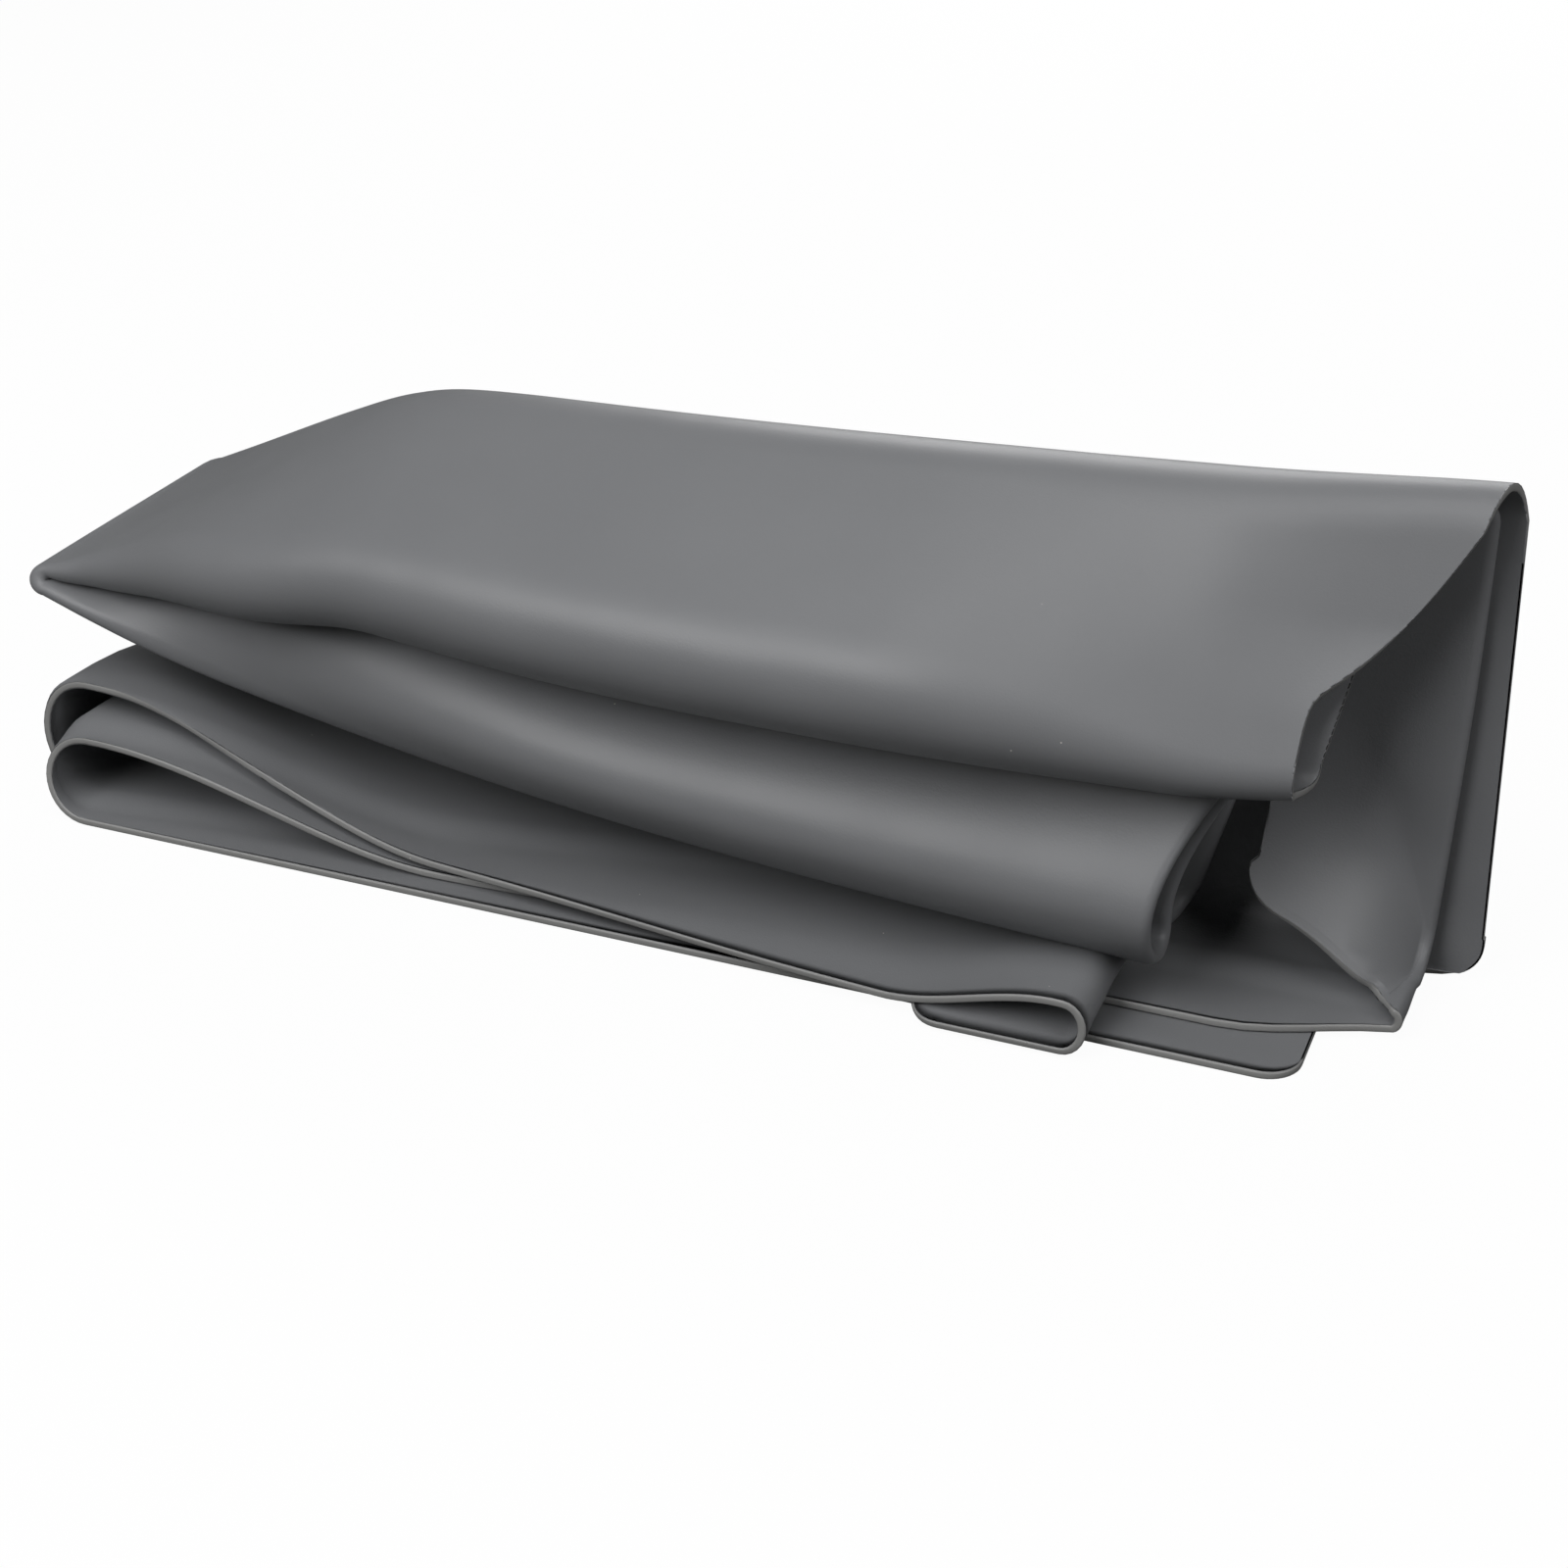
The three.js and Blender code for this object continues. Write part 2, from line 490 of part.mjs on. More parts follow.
// Closed sheet: both faces half a thickness from the mid-surface, joined by a rim.
function thickSheet(rows) {
  const height = rows.length;
  const width = rows[0].length;
  const positions = [];
  const at = (i, j) => rows[clamp(i, 0, height - 1)][clamp(j, 0, width - 1)];
  for (const face of [HALF, -HALF]) {
    for (let i = 0; i < height; i += 1) {
      for (let j = 0; j < width; j += 1) {
        const along = tangent(at(i - 1, j), at(i, j), at(i + 1, j));
        const across = tangent(at(i, j - 1), at(i, j), at(i, j + 1));
        const normal = along.cross(across).normalize();
        positions.push(...at(i, j).clone().addScaledVector(normal, face).toArray());
      }
    }
  }
  const index = [];
  const quad = (a, b, c, d) => index.push(a, b, c, a, c, d);
  const upper = (i, j) => i * width + j;
  const lower = (i, j) => upper(i, j) + height * width;
  for (let i = 0; i + 1 < height; i += 1) {
    for (let j = 0; j + 1 < width; j += 1) {
      quad(upper(i, j), upper(i + 1, j), upper(i + 1, j + 1), upper(i, j + 1));
      quad(lower(i, j), lower(i, j + 1), lower(i + 1, j + 1), lower(i + 1, j));
    }
    quad(upper(i, 0), lower(i, 0), lower(i + 1, 0), upper(i + 1, 0));
    quad(upper(i, width - 1), upper(i + 1, width - 1), lower(i + 1, width - 1), lower(i, width - 1));
  }
  for (let j = 0; j + 1 < width; j += 1) {
    quad(upper(0, j), upper(0, j + 1), lower(0, j + 1), lower(0, j));
    quad(upper(height - 1, j), lower(height - 1, j), lower(height - 1, j + 1), upper(height - 1, j + 1));
  }
  const geometry = new THREE.BufferGeometry();
  geometry.setAttribute('position', new THREE.Float32BufferAttribute(positions, 3));
  geometry.setIndex(index);
  geometry.computeBoundingBox();
  const { min, max } = geometry.boundingBox;
  geometry.translate(-(min.x + max.x) / 2, -(min.y + max.y) / 2, -min.z);
  geometry.computeVertexNormals();
  return geometry;
}

const silicone = new THREE.MeshStandardMaterial({ color: 0x77787a, roughness: 0.55, metalness: 0 });
const mat = new THREE.Mesh(thickSheet(sheetRows(makeColumns())), silicone);
mat.name = 'mat';

const foldedMat = new THREE.Group();
foldedMat.add(mat);

export default foldedMat;
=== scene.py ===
"""Folded silicone pastry mat: the looks of the part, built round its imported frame.

The mat is one thin rubber sheet, doubled, draped and folded over. Its form is worked out here by
the part's own folding, on a much finer grid, with a fuller upper roll and with rounded arrises on
the cut edge. Lengths are in millimetres in the folding formulas and in metres in the scene.
"""

from __future__ import annotations

import logging
import math
from dataclasses import dataclass
from enum import Enum
from functools import lru_cache
from typing import Callable

import bpy
import numpy as np
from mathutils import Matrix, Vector

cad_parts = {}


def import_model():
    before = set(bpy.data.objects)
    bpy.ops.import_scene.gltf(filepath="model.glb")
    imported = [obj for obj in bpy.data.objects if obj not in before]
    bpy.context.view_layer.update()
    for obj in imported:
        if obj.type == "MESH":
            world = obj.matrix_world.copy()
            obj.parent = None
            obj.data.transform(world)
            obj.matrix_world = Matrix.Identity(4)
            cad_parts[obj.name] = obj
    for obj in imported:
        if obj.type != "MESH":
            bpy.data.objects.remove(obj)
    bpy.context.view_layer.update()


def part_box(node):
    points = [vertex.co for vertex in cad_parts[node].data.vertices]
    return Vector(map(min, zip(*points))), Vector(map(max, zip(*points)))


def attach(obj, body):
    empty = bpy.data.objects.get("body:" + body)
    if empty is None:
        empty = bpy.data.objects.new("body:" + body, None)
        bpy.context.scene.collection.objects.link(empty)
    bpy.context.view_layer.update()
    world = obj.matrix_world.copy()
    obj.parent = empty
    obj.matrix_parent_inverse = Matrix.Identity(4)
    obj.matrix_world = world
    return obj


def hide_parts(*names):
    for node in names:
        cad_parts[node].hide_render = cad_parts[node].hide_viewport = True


LOG = logging.getLogger("mat")
MM = 0.001
QUARTER = math.pi / 2
HUMP_SCALE = 27.0 / 4.0
IMAGE_SIZE = 1600.0
TINY = 1e-12

PointYZ = tuple[float, float]
Span = tuple[float, float]
Colour = tuple[float, float, float, float]
Socket = bpy.types.NodeSocket

WHITE: Colour = (1.0, 1.0, 1.0, 1.0)


def clamp(value: float, low: float, high: float) -> float:
    """Return value held between low and high."""
    return min(max(value, low), high)


def mix(start: float, end: float, share: float) -> float:
    """Return the value a share of the way from start to end."""
    return start + (end - start) * share


def share_of(value: float, start: float, end: float) -> float:
    """Return how far value is on the way from start to end."""
    return (value - start) / (end - start)


def blend(start: PointYZ, end: PointYZ, share: float) -> PointYZ:
    """Return the point a share of the way from start to end."""
    return mix(start[0], end[0], share), mix(start[1], end[1], share)


def ease(value: float) -> float:
    """Return a smooth step from 0 to 1 as value goes from 0 to 1."""
    v = clamp(value, 0.0, 1.0)
    return v * v * (3.0 - 2.0 * v)


def ease_over(value: float, span: Span) -> float:
    """Return a smooth step from 0 to 1 as value goes from the span's start to its end."""
    return ease(share_of(value, *span))


def soft_ramp(value: float, softness: float) -> float:
    """Return value where it is positive and 0 where it isn't, with a rounded knee."""
    return (value + math.hypot(value, softness)) / 2.0


def hump(share: float) -> float:
    """Return a smooth hump that starts softly at 0, is 1 at two thirds and ends at 1."""
    t = max(share, 0.0)
    return HUMP_SCALE * t * t * (1.0 - t)


def hump_slope(share: float) -> float:
    """Return the slope of the hump."""
    t = max(share, 0.0)
    return HUMP_SCALE * t * (2.0 - 3.0 * t)


class Stretch(Enum):
    """Stretches of the section, going out from the front roll to a long edge."""

    ROLL = "roll"
    ROOF = "roof"
    ARCH = "arch"
    WALL = "wall"
    HEEL = "heel"
    GROUND = "ground"
    STEP = "step"
    FRONT = "front"


@dataclass(frozen=True)
class SheetSizes:
    """The sheet itself."""

    thickness: float = 1.5
    layer_gap: float = 0.2
    corner_radius: float = 7.0
    flap_length: float = 30.0
    arris_radius: float = 0.4
    flat_size: tuple[float, float] = (400.0, 600.0)

    @property
    def half(self) -> float:
        """Half the thickness."""
        return self.thickness / 2.0

    @property
    def pitch(self) -> float:
        """Spacing of layers that lie together."""
        return self.thickness + self.layer_gap


@dataclass(frozen=True)
class RidgeSizes:
    """Back wall, ridge and heel, outer faces, with how they change towards the left fold."""

    end_x: float = 146.0
    left_fold_x: float = -153.0
    knee_x: float = -70.0
    knee_softness: float = 0.18
    wall_y: float = 21.0
    wall_sweep: float = 53.0
    wall_sweep_power: int = 4
    height: float = 101.0
    slope: float = 11.0
    drop: float = 37.0
    arch_radius: float = 4.6
    arch_flap_room: float = 4.5
    arch_flap_share: float = 0.16
    arch_spread: float = 4.0
    least_slope: float = 0.02
    heel_radius: float = 9.0
    heel_spread: float = 11.0
    outer_heel_radius: float = 1.0
    outer_heel_spread: float = 14.0


@dataclass(frozen=True)
class RollSizes:
    """Roof and front rolls."""

    lower_y: float = -18.0
    lower_y_shift: float = 8.0
    lower_height: float = 10.0
    lower_rise: float = 15.5
    lower_tip_rise: float = 21.7
    lower_tip_power: int = 4
    bow: float = 2.0
    bow_spread: float = 11.0
    lower_bulge: float = 9.0
    lower_bulge_share: float = 0.55
    lower_fade: Span = (0.5, 0.85)
    lower_back_share: float = 0.35
    tip_power: int = 6
    upper_radius: float = 5.0
    upper_spread: float = 6.6
    upper_spread_span: Span = (0.08, 0.33)
    upper_tip_radius: float = 0.0
    upper_share: float = 0.53
    upper_slant: float = 0.15
    upper_slant_power: int = 3
    upper_tip_share: float = 0.95
    upper_tip_span: Span = (0.68, 0.95)
    upper_close_share: float = 0.97
    upper_close_span: Span = (0.94, 0.985)
    upper_hold: float = 7.0
    upper_fade: float = 17.0
    upper_taut_span: Span = (-0.02, 0.16)
    roof_gap: float = 1.8
    roof_gap_share: float = 0.6
    knee_gap: float = 1.3
    knee_gap_span: Span = (-40.0, -90.0)
    tip_run: float = 60.0


@dataclass(frozen=True)
class EdgeSizes:
    """Long edges of the layers on the ground."""

    top_y: float = -28.6
    top_slant: float = 1.6
    hidden_y: float = 20.0
    hidden_slant: float = 36.0
    drop_lead: float = 1.5
    drop_run: float = 8.0
    inner_y: float = -23.5
    inner_slant: float = 6.5
    inner_slant_span: Span = (-100.0, 90.0)
    inner_turn: float = 11.0
    inner_turn_span: Span = (110.0, 146.0)
    cover_left: tuple[float, float] = (-140.0, -14.0)
    cover_right: tuple[float, float] = (90.0, -36.0)
    cover_lead: float = 1.0
    cover_run: float = 12.0
    cover_air: float = 0.8


@dataclass(frozen=True)
class LoopSizes:
    """Loops sprung open at the left and right folds, and the end flap."""

    lower_lift: float = 15.5
    upper_lift: float = 19.5
    left_span: Span = (-50.0, -135.0)
    reach: float = 45.0
    cover_reach: float = 28.0
    wall_share: float = 0.3
    wall_run: float = 30.0
    right_lift: float = 8.0
    right_span: Span = (50.0, 86.0)
    mouth_open: float = 7.0
    mouth_span: Span = (30.0, 96.0)
    mouth_fade: float = 32.0
    fold_gap: float = 4.6
    fold_tip_gap: float = 1.7
    flap_pitches: float = 3.0
    flap_air: float = 0.6
    flap_air_run: float = 50.0
    flap_lift_radius: float = 48.0
    flap_lift_run: float = 12.0
    flap_settle_run: float = 9.0
    flap_foot_share: float = 0.5
    flap_edge_y: float = -36.0
    flap_low_height: float = 1.6
    flap_step_run: float = 7.5
    flap_step_y: float = -25.5
    flap_upper_run: float = 8.0


@dataclass(frozen=True)
class EndSizes:
    """Right ends of the strips and the turns of the folds."""

    top_x: float = 120.0
    top_roof: float = 29.0
    top_turn_reach: float = 0.09
    top_turn_softness: float = 0.04
    top_turn_power: float = 0.65
    top_wall: float = 3.0
    top_lean: float = 3.2
    top_floor: float = 3.8
    top_floor_reach: float = 0.16
    inner_x: float = 98.0
    inner_roof: float = 46.0
    inner_power: float = 1.2
    inner_back: float = 3.0
    cover_lean: float = 20.0
    cover_lean_reach: float = 0.25
    cover_back: float = 28.0
    left_outer: float = 3.2
    left_outer_open: float = 8.4
    left_inner: float = 1.5
    left_inner_open: float = 7.8
    left_spacing: float = 2.7
    left_spacing_open: float = 5.6
    left_set_back: float = 2.4
    right_tight: float = 1.2
    right_open: float = 2.8
    open_reach: float = 0.45


@dataclass(frozen=True)
class GridSizes:
    """How finely the sheet is divided.

    Each stretch of the section has its number of columns, and the share of the strip's width at
    which it ends.
    """

    stretches: tuple[tuple[Stretch, int, float], ...] = (
        (Stretch.ROOF, 30, 0.3),
        (Stretch.ARCH, 12, 0.38),
        (Stretch.WALL, 12, 0.72),
        (Stretch.HEEL, 10, 0.8),
        (Stretch.GROUND, 8, 0.86),
        (Stretch.STEP, 6, 0.92),
        (Stretch.FRONT, 10, 1.0),
    )
    roll: int = 16
    corner: int = 10
    end: int = 14
    middle: int = 84
    join: int = 12
    left: int = 18
    right: int = 12
    flap: int = 22
    middle_left_x: float = -122.0
    middle_right_x: float = 70.0
    least_step: float = 0.06
    rim_steps: int = 3


@dataclass(frozen=True)
class Column:
    """One column of the grid: a constant place across the strip.

    side is -1 on the half whose outer layer is uppermost, +1 on the other half, and between them
    on the roll. left counts the columns still to come before the long edge.
    """

    stretch: Stretch
    reach: float
    side: float
    share: float = 0.0
    left: int = 0
    bend: float = 0.0


@dataclass(frozen=True)
class Section:
    """Section of one layer at one station: a roof line, an arch, a wall, a heel and the ground."""

    k: float
    slope: float
    roof: float
    radius: float
    centre_y: float
    centre_z: float
    ground_z: float
    heel_radius: float
    arch_end: float
    heel_start: float
    ground_start: float
    wall_y: float
    bow: float
    bulge: float
    bulge_start: float

    def length_at_y(self, y: float) -> float:
        """Return the length along the section at which the ground reaches y."""
        return self.ground_start + self.wall_y - self.heel_radius - y

    def y_at_length(self, length: float) -> float:
        """Return y on the ground at a length along the section."""
        return self.wall_y - self.heel_radius - (length - self.ground_start)

    def roof_swell(self, share: float) -> float:
        """Return how far the roof is bowed out, a share of the way down it."""
        low = share_of(share, self.bulge_start, 1.0)
        return self.bow * hump(share) + self.bulge * hump(low)

    def roof_drift(self, share: float) -> float:
        """Return the slope of that bow, outwards for each length down the roof."""
        low = share_of(share, self.bulge_start, 1.0)
        lower = self.bulge * hump_slope(low) / (1.0 - self.bulge_start)
        return (self.bow * hump_slope(share) + lower) / self.roof

    def point(self, length: float, push: float) -> PointYZ:
        """Return a point of the section.

        Args:
            length: Distance along the section from where the roof meets the arch.
            push: Further distance outwards.

        Returns:
            The point's y and z.
        """
        if length <= 0.0:
            out = self.radius + push + self.roof_swell(-length / self.roof)
            return (
                self.centre_y - out * math.sin(self.slope) + length * math.cos(self.slope),
                self.centre_z + out * math.cos(self.slope) + length * math.sin(self.slope),
            )
        if length <= self.arch_end:
            angle = length / self.radius - self.slope
            out = self.radius + push
            return self.centre_y + out * math.sin(angle), self.centre_z + out * math.cos(angle)
        if length <= self.heel_start:
            return self.wall_y + push, self.centre_z - (length - self.arch_end)
        turn = min((length - self.heel_start) / self.heel_radius, QUARTER)
        past = max(length - self.ground_start, 0.0)
        out = self.heel_radius + push
        return (
            self.wall_y - self.heel_radius + out * math.cos(turn) - past,
            self.ground_z + self.heel_radius - out * math.sin(turn),
        )

    def roll_point(self, length: float, push: float, bulge: float) -> PointYZ:
        """Return a point of a front roll, bulged on from the roof in the roof's own direction.

        Args:
            length: Where the roof ends and the roll starts.
            push: Distance outwards.
            bulge: Distance on past the end of the roof.

        Returns:
            The point's y and z.
        """
        y, z = self.point(length, push + self.roof_drift(-length / self.roof) * bulge)
        return y - bulge * math.cos(self.slope), z - bulge * math.sin(self.slope)


@dataclass(frozen=True)
class Panel:
    """Upper layer of the top strip: a straight line that touches the ridge's arch and the roll."""

    arch_centre: PointYZ
    arch_radius: float
    roll_centre: PointYZ
    roll_radius: float
    roll_end: PointYZ

    @property
    def lean(self) -> float:
        """Angle of the line below level, going forwards."""
        run = self.arch_centre[0] - self.roll_centre[0]
        fall = self.arch_centre[1] - self.roll_centre[1]
        step = self.arch_radius - self.roll_radius
        return math.atan2(fall, run) + math.asin(step / math.hypot(run, fall))

    @staticmethod
    def _on_circle(centre: PointYZ, radius: float, angle: float) -> PointYZ:
        """Return a point of a circle, at an angle from straight up towards the back."""
        return centre[0] + radius * math.sin(angle), centre[1] + radius * math.cos(angle)

    def roof_point(self, share: float) -> PointYZ:
        """Return a point of the line, a share of the way from the roll to the arch."""
        low = self._on_circle(self.roll_centre, self.roll_radius, -self.lean)
        high = self._on_circle(self.arch_centre, self.arch_radius, -self.lean)
        return blend(low, high, share)

    def arch_point(self, share: float) -> PointYZ:
        """Return a point of the arch, a share of the way from the line to the wall."""
        return self._on_circle(self.arch_centre, self.arch_radius, mix(-self.lean, QUARTER, share))

    def roll_point(self, share: float) -> PointYZ:
        """Return a point of the roll, a share of the way from the line to the layer below."""
        y, z = self.roll_end[0] - self.roll_centre[0], self.roll_end[1] - self.roll_centre[1]
        end = math.atan2(y, z)
        end -= 2.0 * math.pi if end > -self.lean else 0.0
        return self._on_circle(self.roll_centre, self.roll_radius, mix(-self.lean, end, share))


@dataclass(frozen=True)
class Nodes:
    """A node tree, with a short way to fill it."""

    tree: bpy.types.NodeTree

    @classmethod
    def of(cls, owner: bpy.types.Material | bpy.types.World) -> Nodes:
        """Return the owner's node tree, emptied."""
        owner.use_nodes = True
        owner.node_tree.nodes.clear()
        return cls(owner.node_tree)

    def add(
        self, kind: str, inputs: dict[str | int, float | Colour | Socket], **options: str
    ) -> bpy.types.Node:
        """Add a node.

        Args:
            kind: The node's type, without the prefix that all of them share.
            inputs: Values to set and sockets to link, by the input's name or number.
            options: The node's own options.

        Returns:
            The node.
        """
        node = self.tree.nodes.new("ShaderNode" + kind)
        for name, option in options.items():
            setattr(node, name, option)
        for name, value in inputs.items():
            if isinstance(value, Socket):
                self.tree.links.new(value, node.inputs[name])
            else:
                node.inputs[name].default_value = value
        return node

    def combine(self, operation: str, first: Socket, second: float | Socket) -> Socket:
        """Return what a math node makes of two values."""
        return self.add("Math", {0: first, 1: second}, operation=operation).outputs["Value"]

    def blend(self, share: Socket, first: Colour | Socket, second: Colour) -> Socket:
        """Return a colour that goes from first to second as share goes from 0 to 1."""
        node = self.add("Mix", {"Factor": share, "A": first, "B": second}, data_type="RGBA")
        return node.outputs["Result"]

    def scale(self, share: Socket, low: float, high: float) -> Socket:
        """Return a value that goes from low to high as share goes from 0 to 1."""
        node = self.add("MapRange", {"Value": share, "To Min": low, "To Max": high})
        return node.outputs["Result"]

    def seen(self) -> Socket:
        """Return 1 for what the camera sees directly."""
        return self.add("LightPath", {}).outputs["Is Camera Ray"]


@dataclass(frozen=True)
class SiliconeFinish:
    """Satin grey silicone with faint mottling, fine grain, a few specks of dust and a painted
    highlight on the cut edge's arrises.
    """

    name: str = "silicone"
    body: Colour = (0.200, 0.204, 0.212, 1.0)
    shade: Colour = (0.184, 0.188, 0.196, 1.0)
    # Lighter colour for the cut edge's arrises: a painted highlight.
    rim_highlight: Colour = (0.27, 0.27, 0.265, 1.0)
    dust: Colour = (0.62, 0.60, 0.56, 1.0)
    roughness: tuple[float, float] = (0.37, 0.48)
    specular: float = 0.42
    mottle_scale: float = 38.0
    mottle_detail: float = 5.0
    grain_scale: float = 2600.0
    grain_detail: float = 2.0
    grain_depth: float = 0.00003
    wave_scale: float = 42.0
    wave_detail: float = 1.0
    wave_depth: float = 0.0006
    dust_scale: float = 240.0
    dust_size: float = 0.035
    dust_rarity: float = 0.9

    def material(self) -> bpy.types.Material:
        """Return the node material."""
        material = bpy.data.materials.new(self.name)
        nodes = Nodes.of(material)
        place = nodes.add("TexCoord", {}).outputs["Object"]
        mottle = self._noise(nodes, place, self.mottle_scale, self.mottle_detail)
        colour = nodes.blend(mottle, self.shade, self.body)
        # The cut edge's arrises are mixed towards that lighter colour: painted highlight.
        colour = nodes.blend(self._rim_highlight_share(nodes), colour, self.rim_highlight)
        colour = nodes.blend(self._dust_share(nodes, place), colour, self.dust)

        waves = self._noise(nodes, place, self.wave_scale, self.wave_detail)
        grain = self._noise(nodes, place, self.grain_scale, self.grain_detail)
        bump = self._bump(nodes, {"Height": waves, "Distance": self.wave_depth})
        bump = self._bump(nodes, {"Height": grain, "Distance": self.grain_depth, "Normal": bump})

        surface = {
            "Base Color": colour,
            "Roughness": nodes.scale(mottle, *self.roughness),
            "Specular IOR Level": self.specular,
            "Normal": bump,
        }
        shader = nodes.add("BsdfPrincipled", surface)
        nodes.add("OutputMaterial", {"Surface": shader.outputs["BSDF"]})
        return material

    @staticmethod
    def _noise(nodes: Nodes, place: Socket, scale: float, detail: float) -> Socket:
        """Return a noise value over the object's own coordinates."""
        node = nodes.add("TexNoise", {"Vector": place, "Scale": scale, "Detail": detail})
        return node.outputs["Fac"]

    @staticmethod
    def _bump(nodes: Nodes, inputs: dict[str | int, float | Socket]) -> Socket:
        """Return the normal of a bump at full strength, with its depth in metres."""
        return nodes.add("Bump", {"Strength": 1.0, **inputs}).outputs["Normal"]

    @staticmethod
    def _rim_highlight_share(nodes: Nodes) -> Socket:
        """Return 1 on the cut edge's arrises, where their highlight is painted, from the mesh's own
        attribute.
        """
        return nodes.add("Attribute", {}, attribute_name=FoldedMat.RIM_HIGHLIGHT_ATTRIBUTE).outputs["Fac"]

    def _dust_share(self, nodes: Nodes, place: Socket) -> Socket:
        """Return 1 on sparse specks: cells of a fine pattern whose own random value is high."""
        cells = nodes.add("TexVoronoi", {"Vector": place, "Scale": self.dust_scale})
        near = nodes.combine("LESS_THAN", cells.outputs["Distance"], self.dust_size)
        random = nodes.add("SeparateColor", {"Color": cells.outputs["Color"]}).outputs["Red"]
        rare = nodes.combine("GREATER_THAN", random, self.dust_rarity)
        return nodes.combine("MULTIPLY", near, rare)


@dataclass
class FoldedMat:
    """The whole mat: one closed sheet, folded."""

    sheet: SheetSizes = SheetSizes()
    ridge: RidgeSizes = RidgeSizes()
    roll: RollSizes = RollSizes()
    edge: EdgeSizes = EdgeSizes()
    loop: LoopSizes = LoopSizes()
    end: EndSizes = EndSizes()
    grid: GridSizes = GridSizes()
    finish: SiliconeFinish = SiliconeFinish()

    NODE = "mat"
    # Mesh attribute that marks where the cut edge's highlight is painted.
    RIM_HIGHLIGHT_ATTRIBUTE = "rim_highlight"

    def __post_init__(self) -> None:
        """Keep each section and panel once it is worked out, and look up where stretches end."""
        self.section = lru_cache(maxsize=None)(self._section)
        self.panel = lru_cache(maxsize=None)(self._panel)
        self.reach = {stretch: reach for stretch, _, reach in self.grid.stretches}

    # Gaps between the layers

    def left_share(self, x: float) -> float:
        """Return the share of the way from the cut end to the left fold."""
        length = self.ridge.end_x - self.ridge.left_fold_x
        return clamp((self.ridge.end_x - x) / length, 0.0, 1.0)

    def tip_share(self, x: float) -> float:
        """Return how far the layers are spread, from 0 at the left fold to 1."""
        return ease((x - self.ridge.left_fold_x) / self.roll.tip_run)

    def knee_gap(self, x: float) -> float:
        """Return the further air between the strips past the ridge's knee."""
        opening = ease_over(x, self.roll.knee_gap_span)
        return self.roll.knee_gap * opening * self.tip_share(x)

    def roof_gap(self, x: float, s: Section, length: float) -> float:
        """Return the further air between the strips on the roof."""
        opening = ease(-length / (self.roll.roof_gap_share * s.roof))
        return self.roll.roof_gap * opening * self.tip_share(x)

    def outer_stack(self, x: float) -> float:
        """Return the distance from the reference section to the outermost face."""
        return self.sheet.half + 2.0 * self.sheet.pitch + self.knee_gap(x)

    def inner_gap(self, x: float) -> float:
        """Return the gap between the inner strip's two layers, with room for the flap."""
        narrow = mix(self.loop.fold_tip_gap, self.loop.fold_gap, self.tip_share(x))
        wide = self.loop.flap_pitches * self.sheet.pitch + self.loop.flap_air
        return mix(narrow, wide, ease(x / self.loop.flap_air_run))

    # Sections

    def _section(self, x: float, offset: float, heel_radius: float, bulge: float = 0.0) -> Section:
        """Return the section of one layer.

        Args:
            x: Station along the folded mat.
            offset: Distance outwards from the reference section.
            heel_radius: Radius between the wall and the ground.
            bulge: Share of the lower roll's bulge that the layer takes.

        Returns:
            The section.
        """
        r, roll = self.ridge, self.roll
        k = self.left_share(x)
        flap_room = r.arch_flap_room * ease(k / r.arch_flap_share)
        arch = r.arch_radius + flap_room + r.arch_spread * k * k
        stack = self.outer_stack(x)
        wall_y = r.wall_y + r.wall_sweep * k**r.wall_sweep_power - stack
        knee = soft_ramp((r.knee_x - x) / (r.knee_x - r.left_fold_x), r.knee_softness)
        top_z = r.height - r.slope * k - r.drop * knee - stack
        roll_y = roll.lower_y + roll.lower_y_shift * k * k
        roll_z = (
            roll.lower_height + roll.lower_rise * k + roll.lower_tip_rise * k**roll.lower_tip_power
        )
        centre_y, centre_z = wall_y - arch, top_z - arch
        run, fall = centre_y - roll_y, centre_z - roll_z
        lean = math.atan2(fall, run) + math.asin(arch / math.hypot(run, fall))
        slope = max(lean, r.least_slope)
        radius = arch + offset
        ground_z = stack - offset
        arch_end = radius * (slope + QUARTER)
        heel_start = arch_end + centre_z - ground_z - heel_radius
        spread = 1.0 - k**roll.tip_power
        fade = 1.0 - ease_over(k, roll.lower_fade)
        return Section(
            k=k,
            slope=slope,
            roof=math.sqrt(run * run + fall * fall - arch * arch),
            radius=radius,
            centre_y=centre_y,
            centre_z=centre_z,
            ground_z=ground_z,
            heel_radius=heel_radius,
            arch_end=arch_end,
            heel_start=heel_start,
            ground_start=heel_start + heel_radius * QUARTER,
            wall_y=centre_y + radius,
            bow=(roll.bow + roll.bow_spread * k) * spread,
            bulge=roll.lower_bulge * bulge * fade,
            bulge_start=roll.lower_bulge_share,
        )

    def heel(self, x: float, offset: float) -> float:
        """Return the heel radius of a layer of the inner strip."""
        return self.ridge.heel_radius + self.ridge.heel_spread * self.left_share(x) + offset

    def outer_heel(self, x: float) -> float:
        """Return the heel radius of the outermost layer."""
        return self.ridge.outer_heel_radius + self.ridge.outer_heel_spread * self.left_share(x)

    # Long edges

    def hidden_edge(self, x: float) -> float:
        """Return y of the lowest layer's edge."""
        return self.edge.hidden_y - self.edge.hidden_slant * self.left_share(x)

    def top_edge(self, x: float) -> float:
        """Return y of the front edge of the top strip's lower layer."""
        return self.edge.top_y + self.edge.top_slant * self.left_share(x)

    def inner_edge(self, x: float) -> float:
        """Return y of the front edge of the inner strip's lower layer."""
        e = self.edge
        slant = e.inner_slant * ease_over(x, e.inner_slant_span)
        return e.inner_y + slant + e.inner_turn * ease_over(x, e.inner_turn_span)

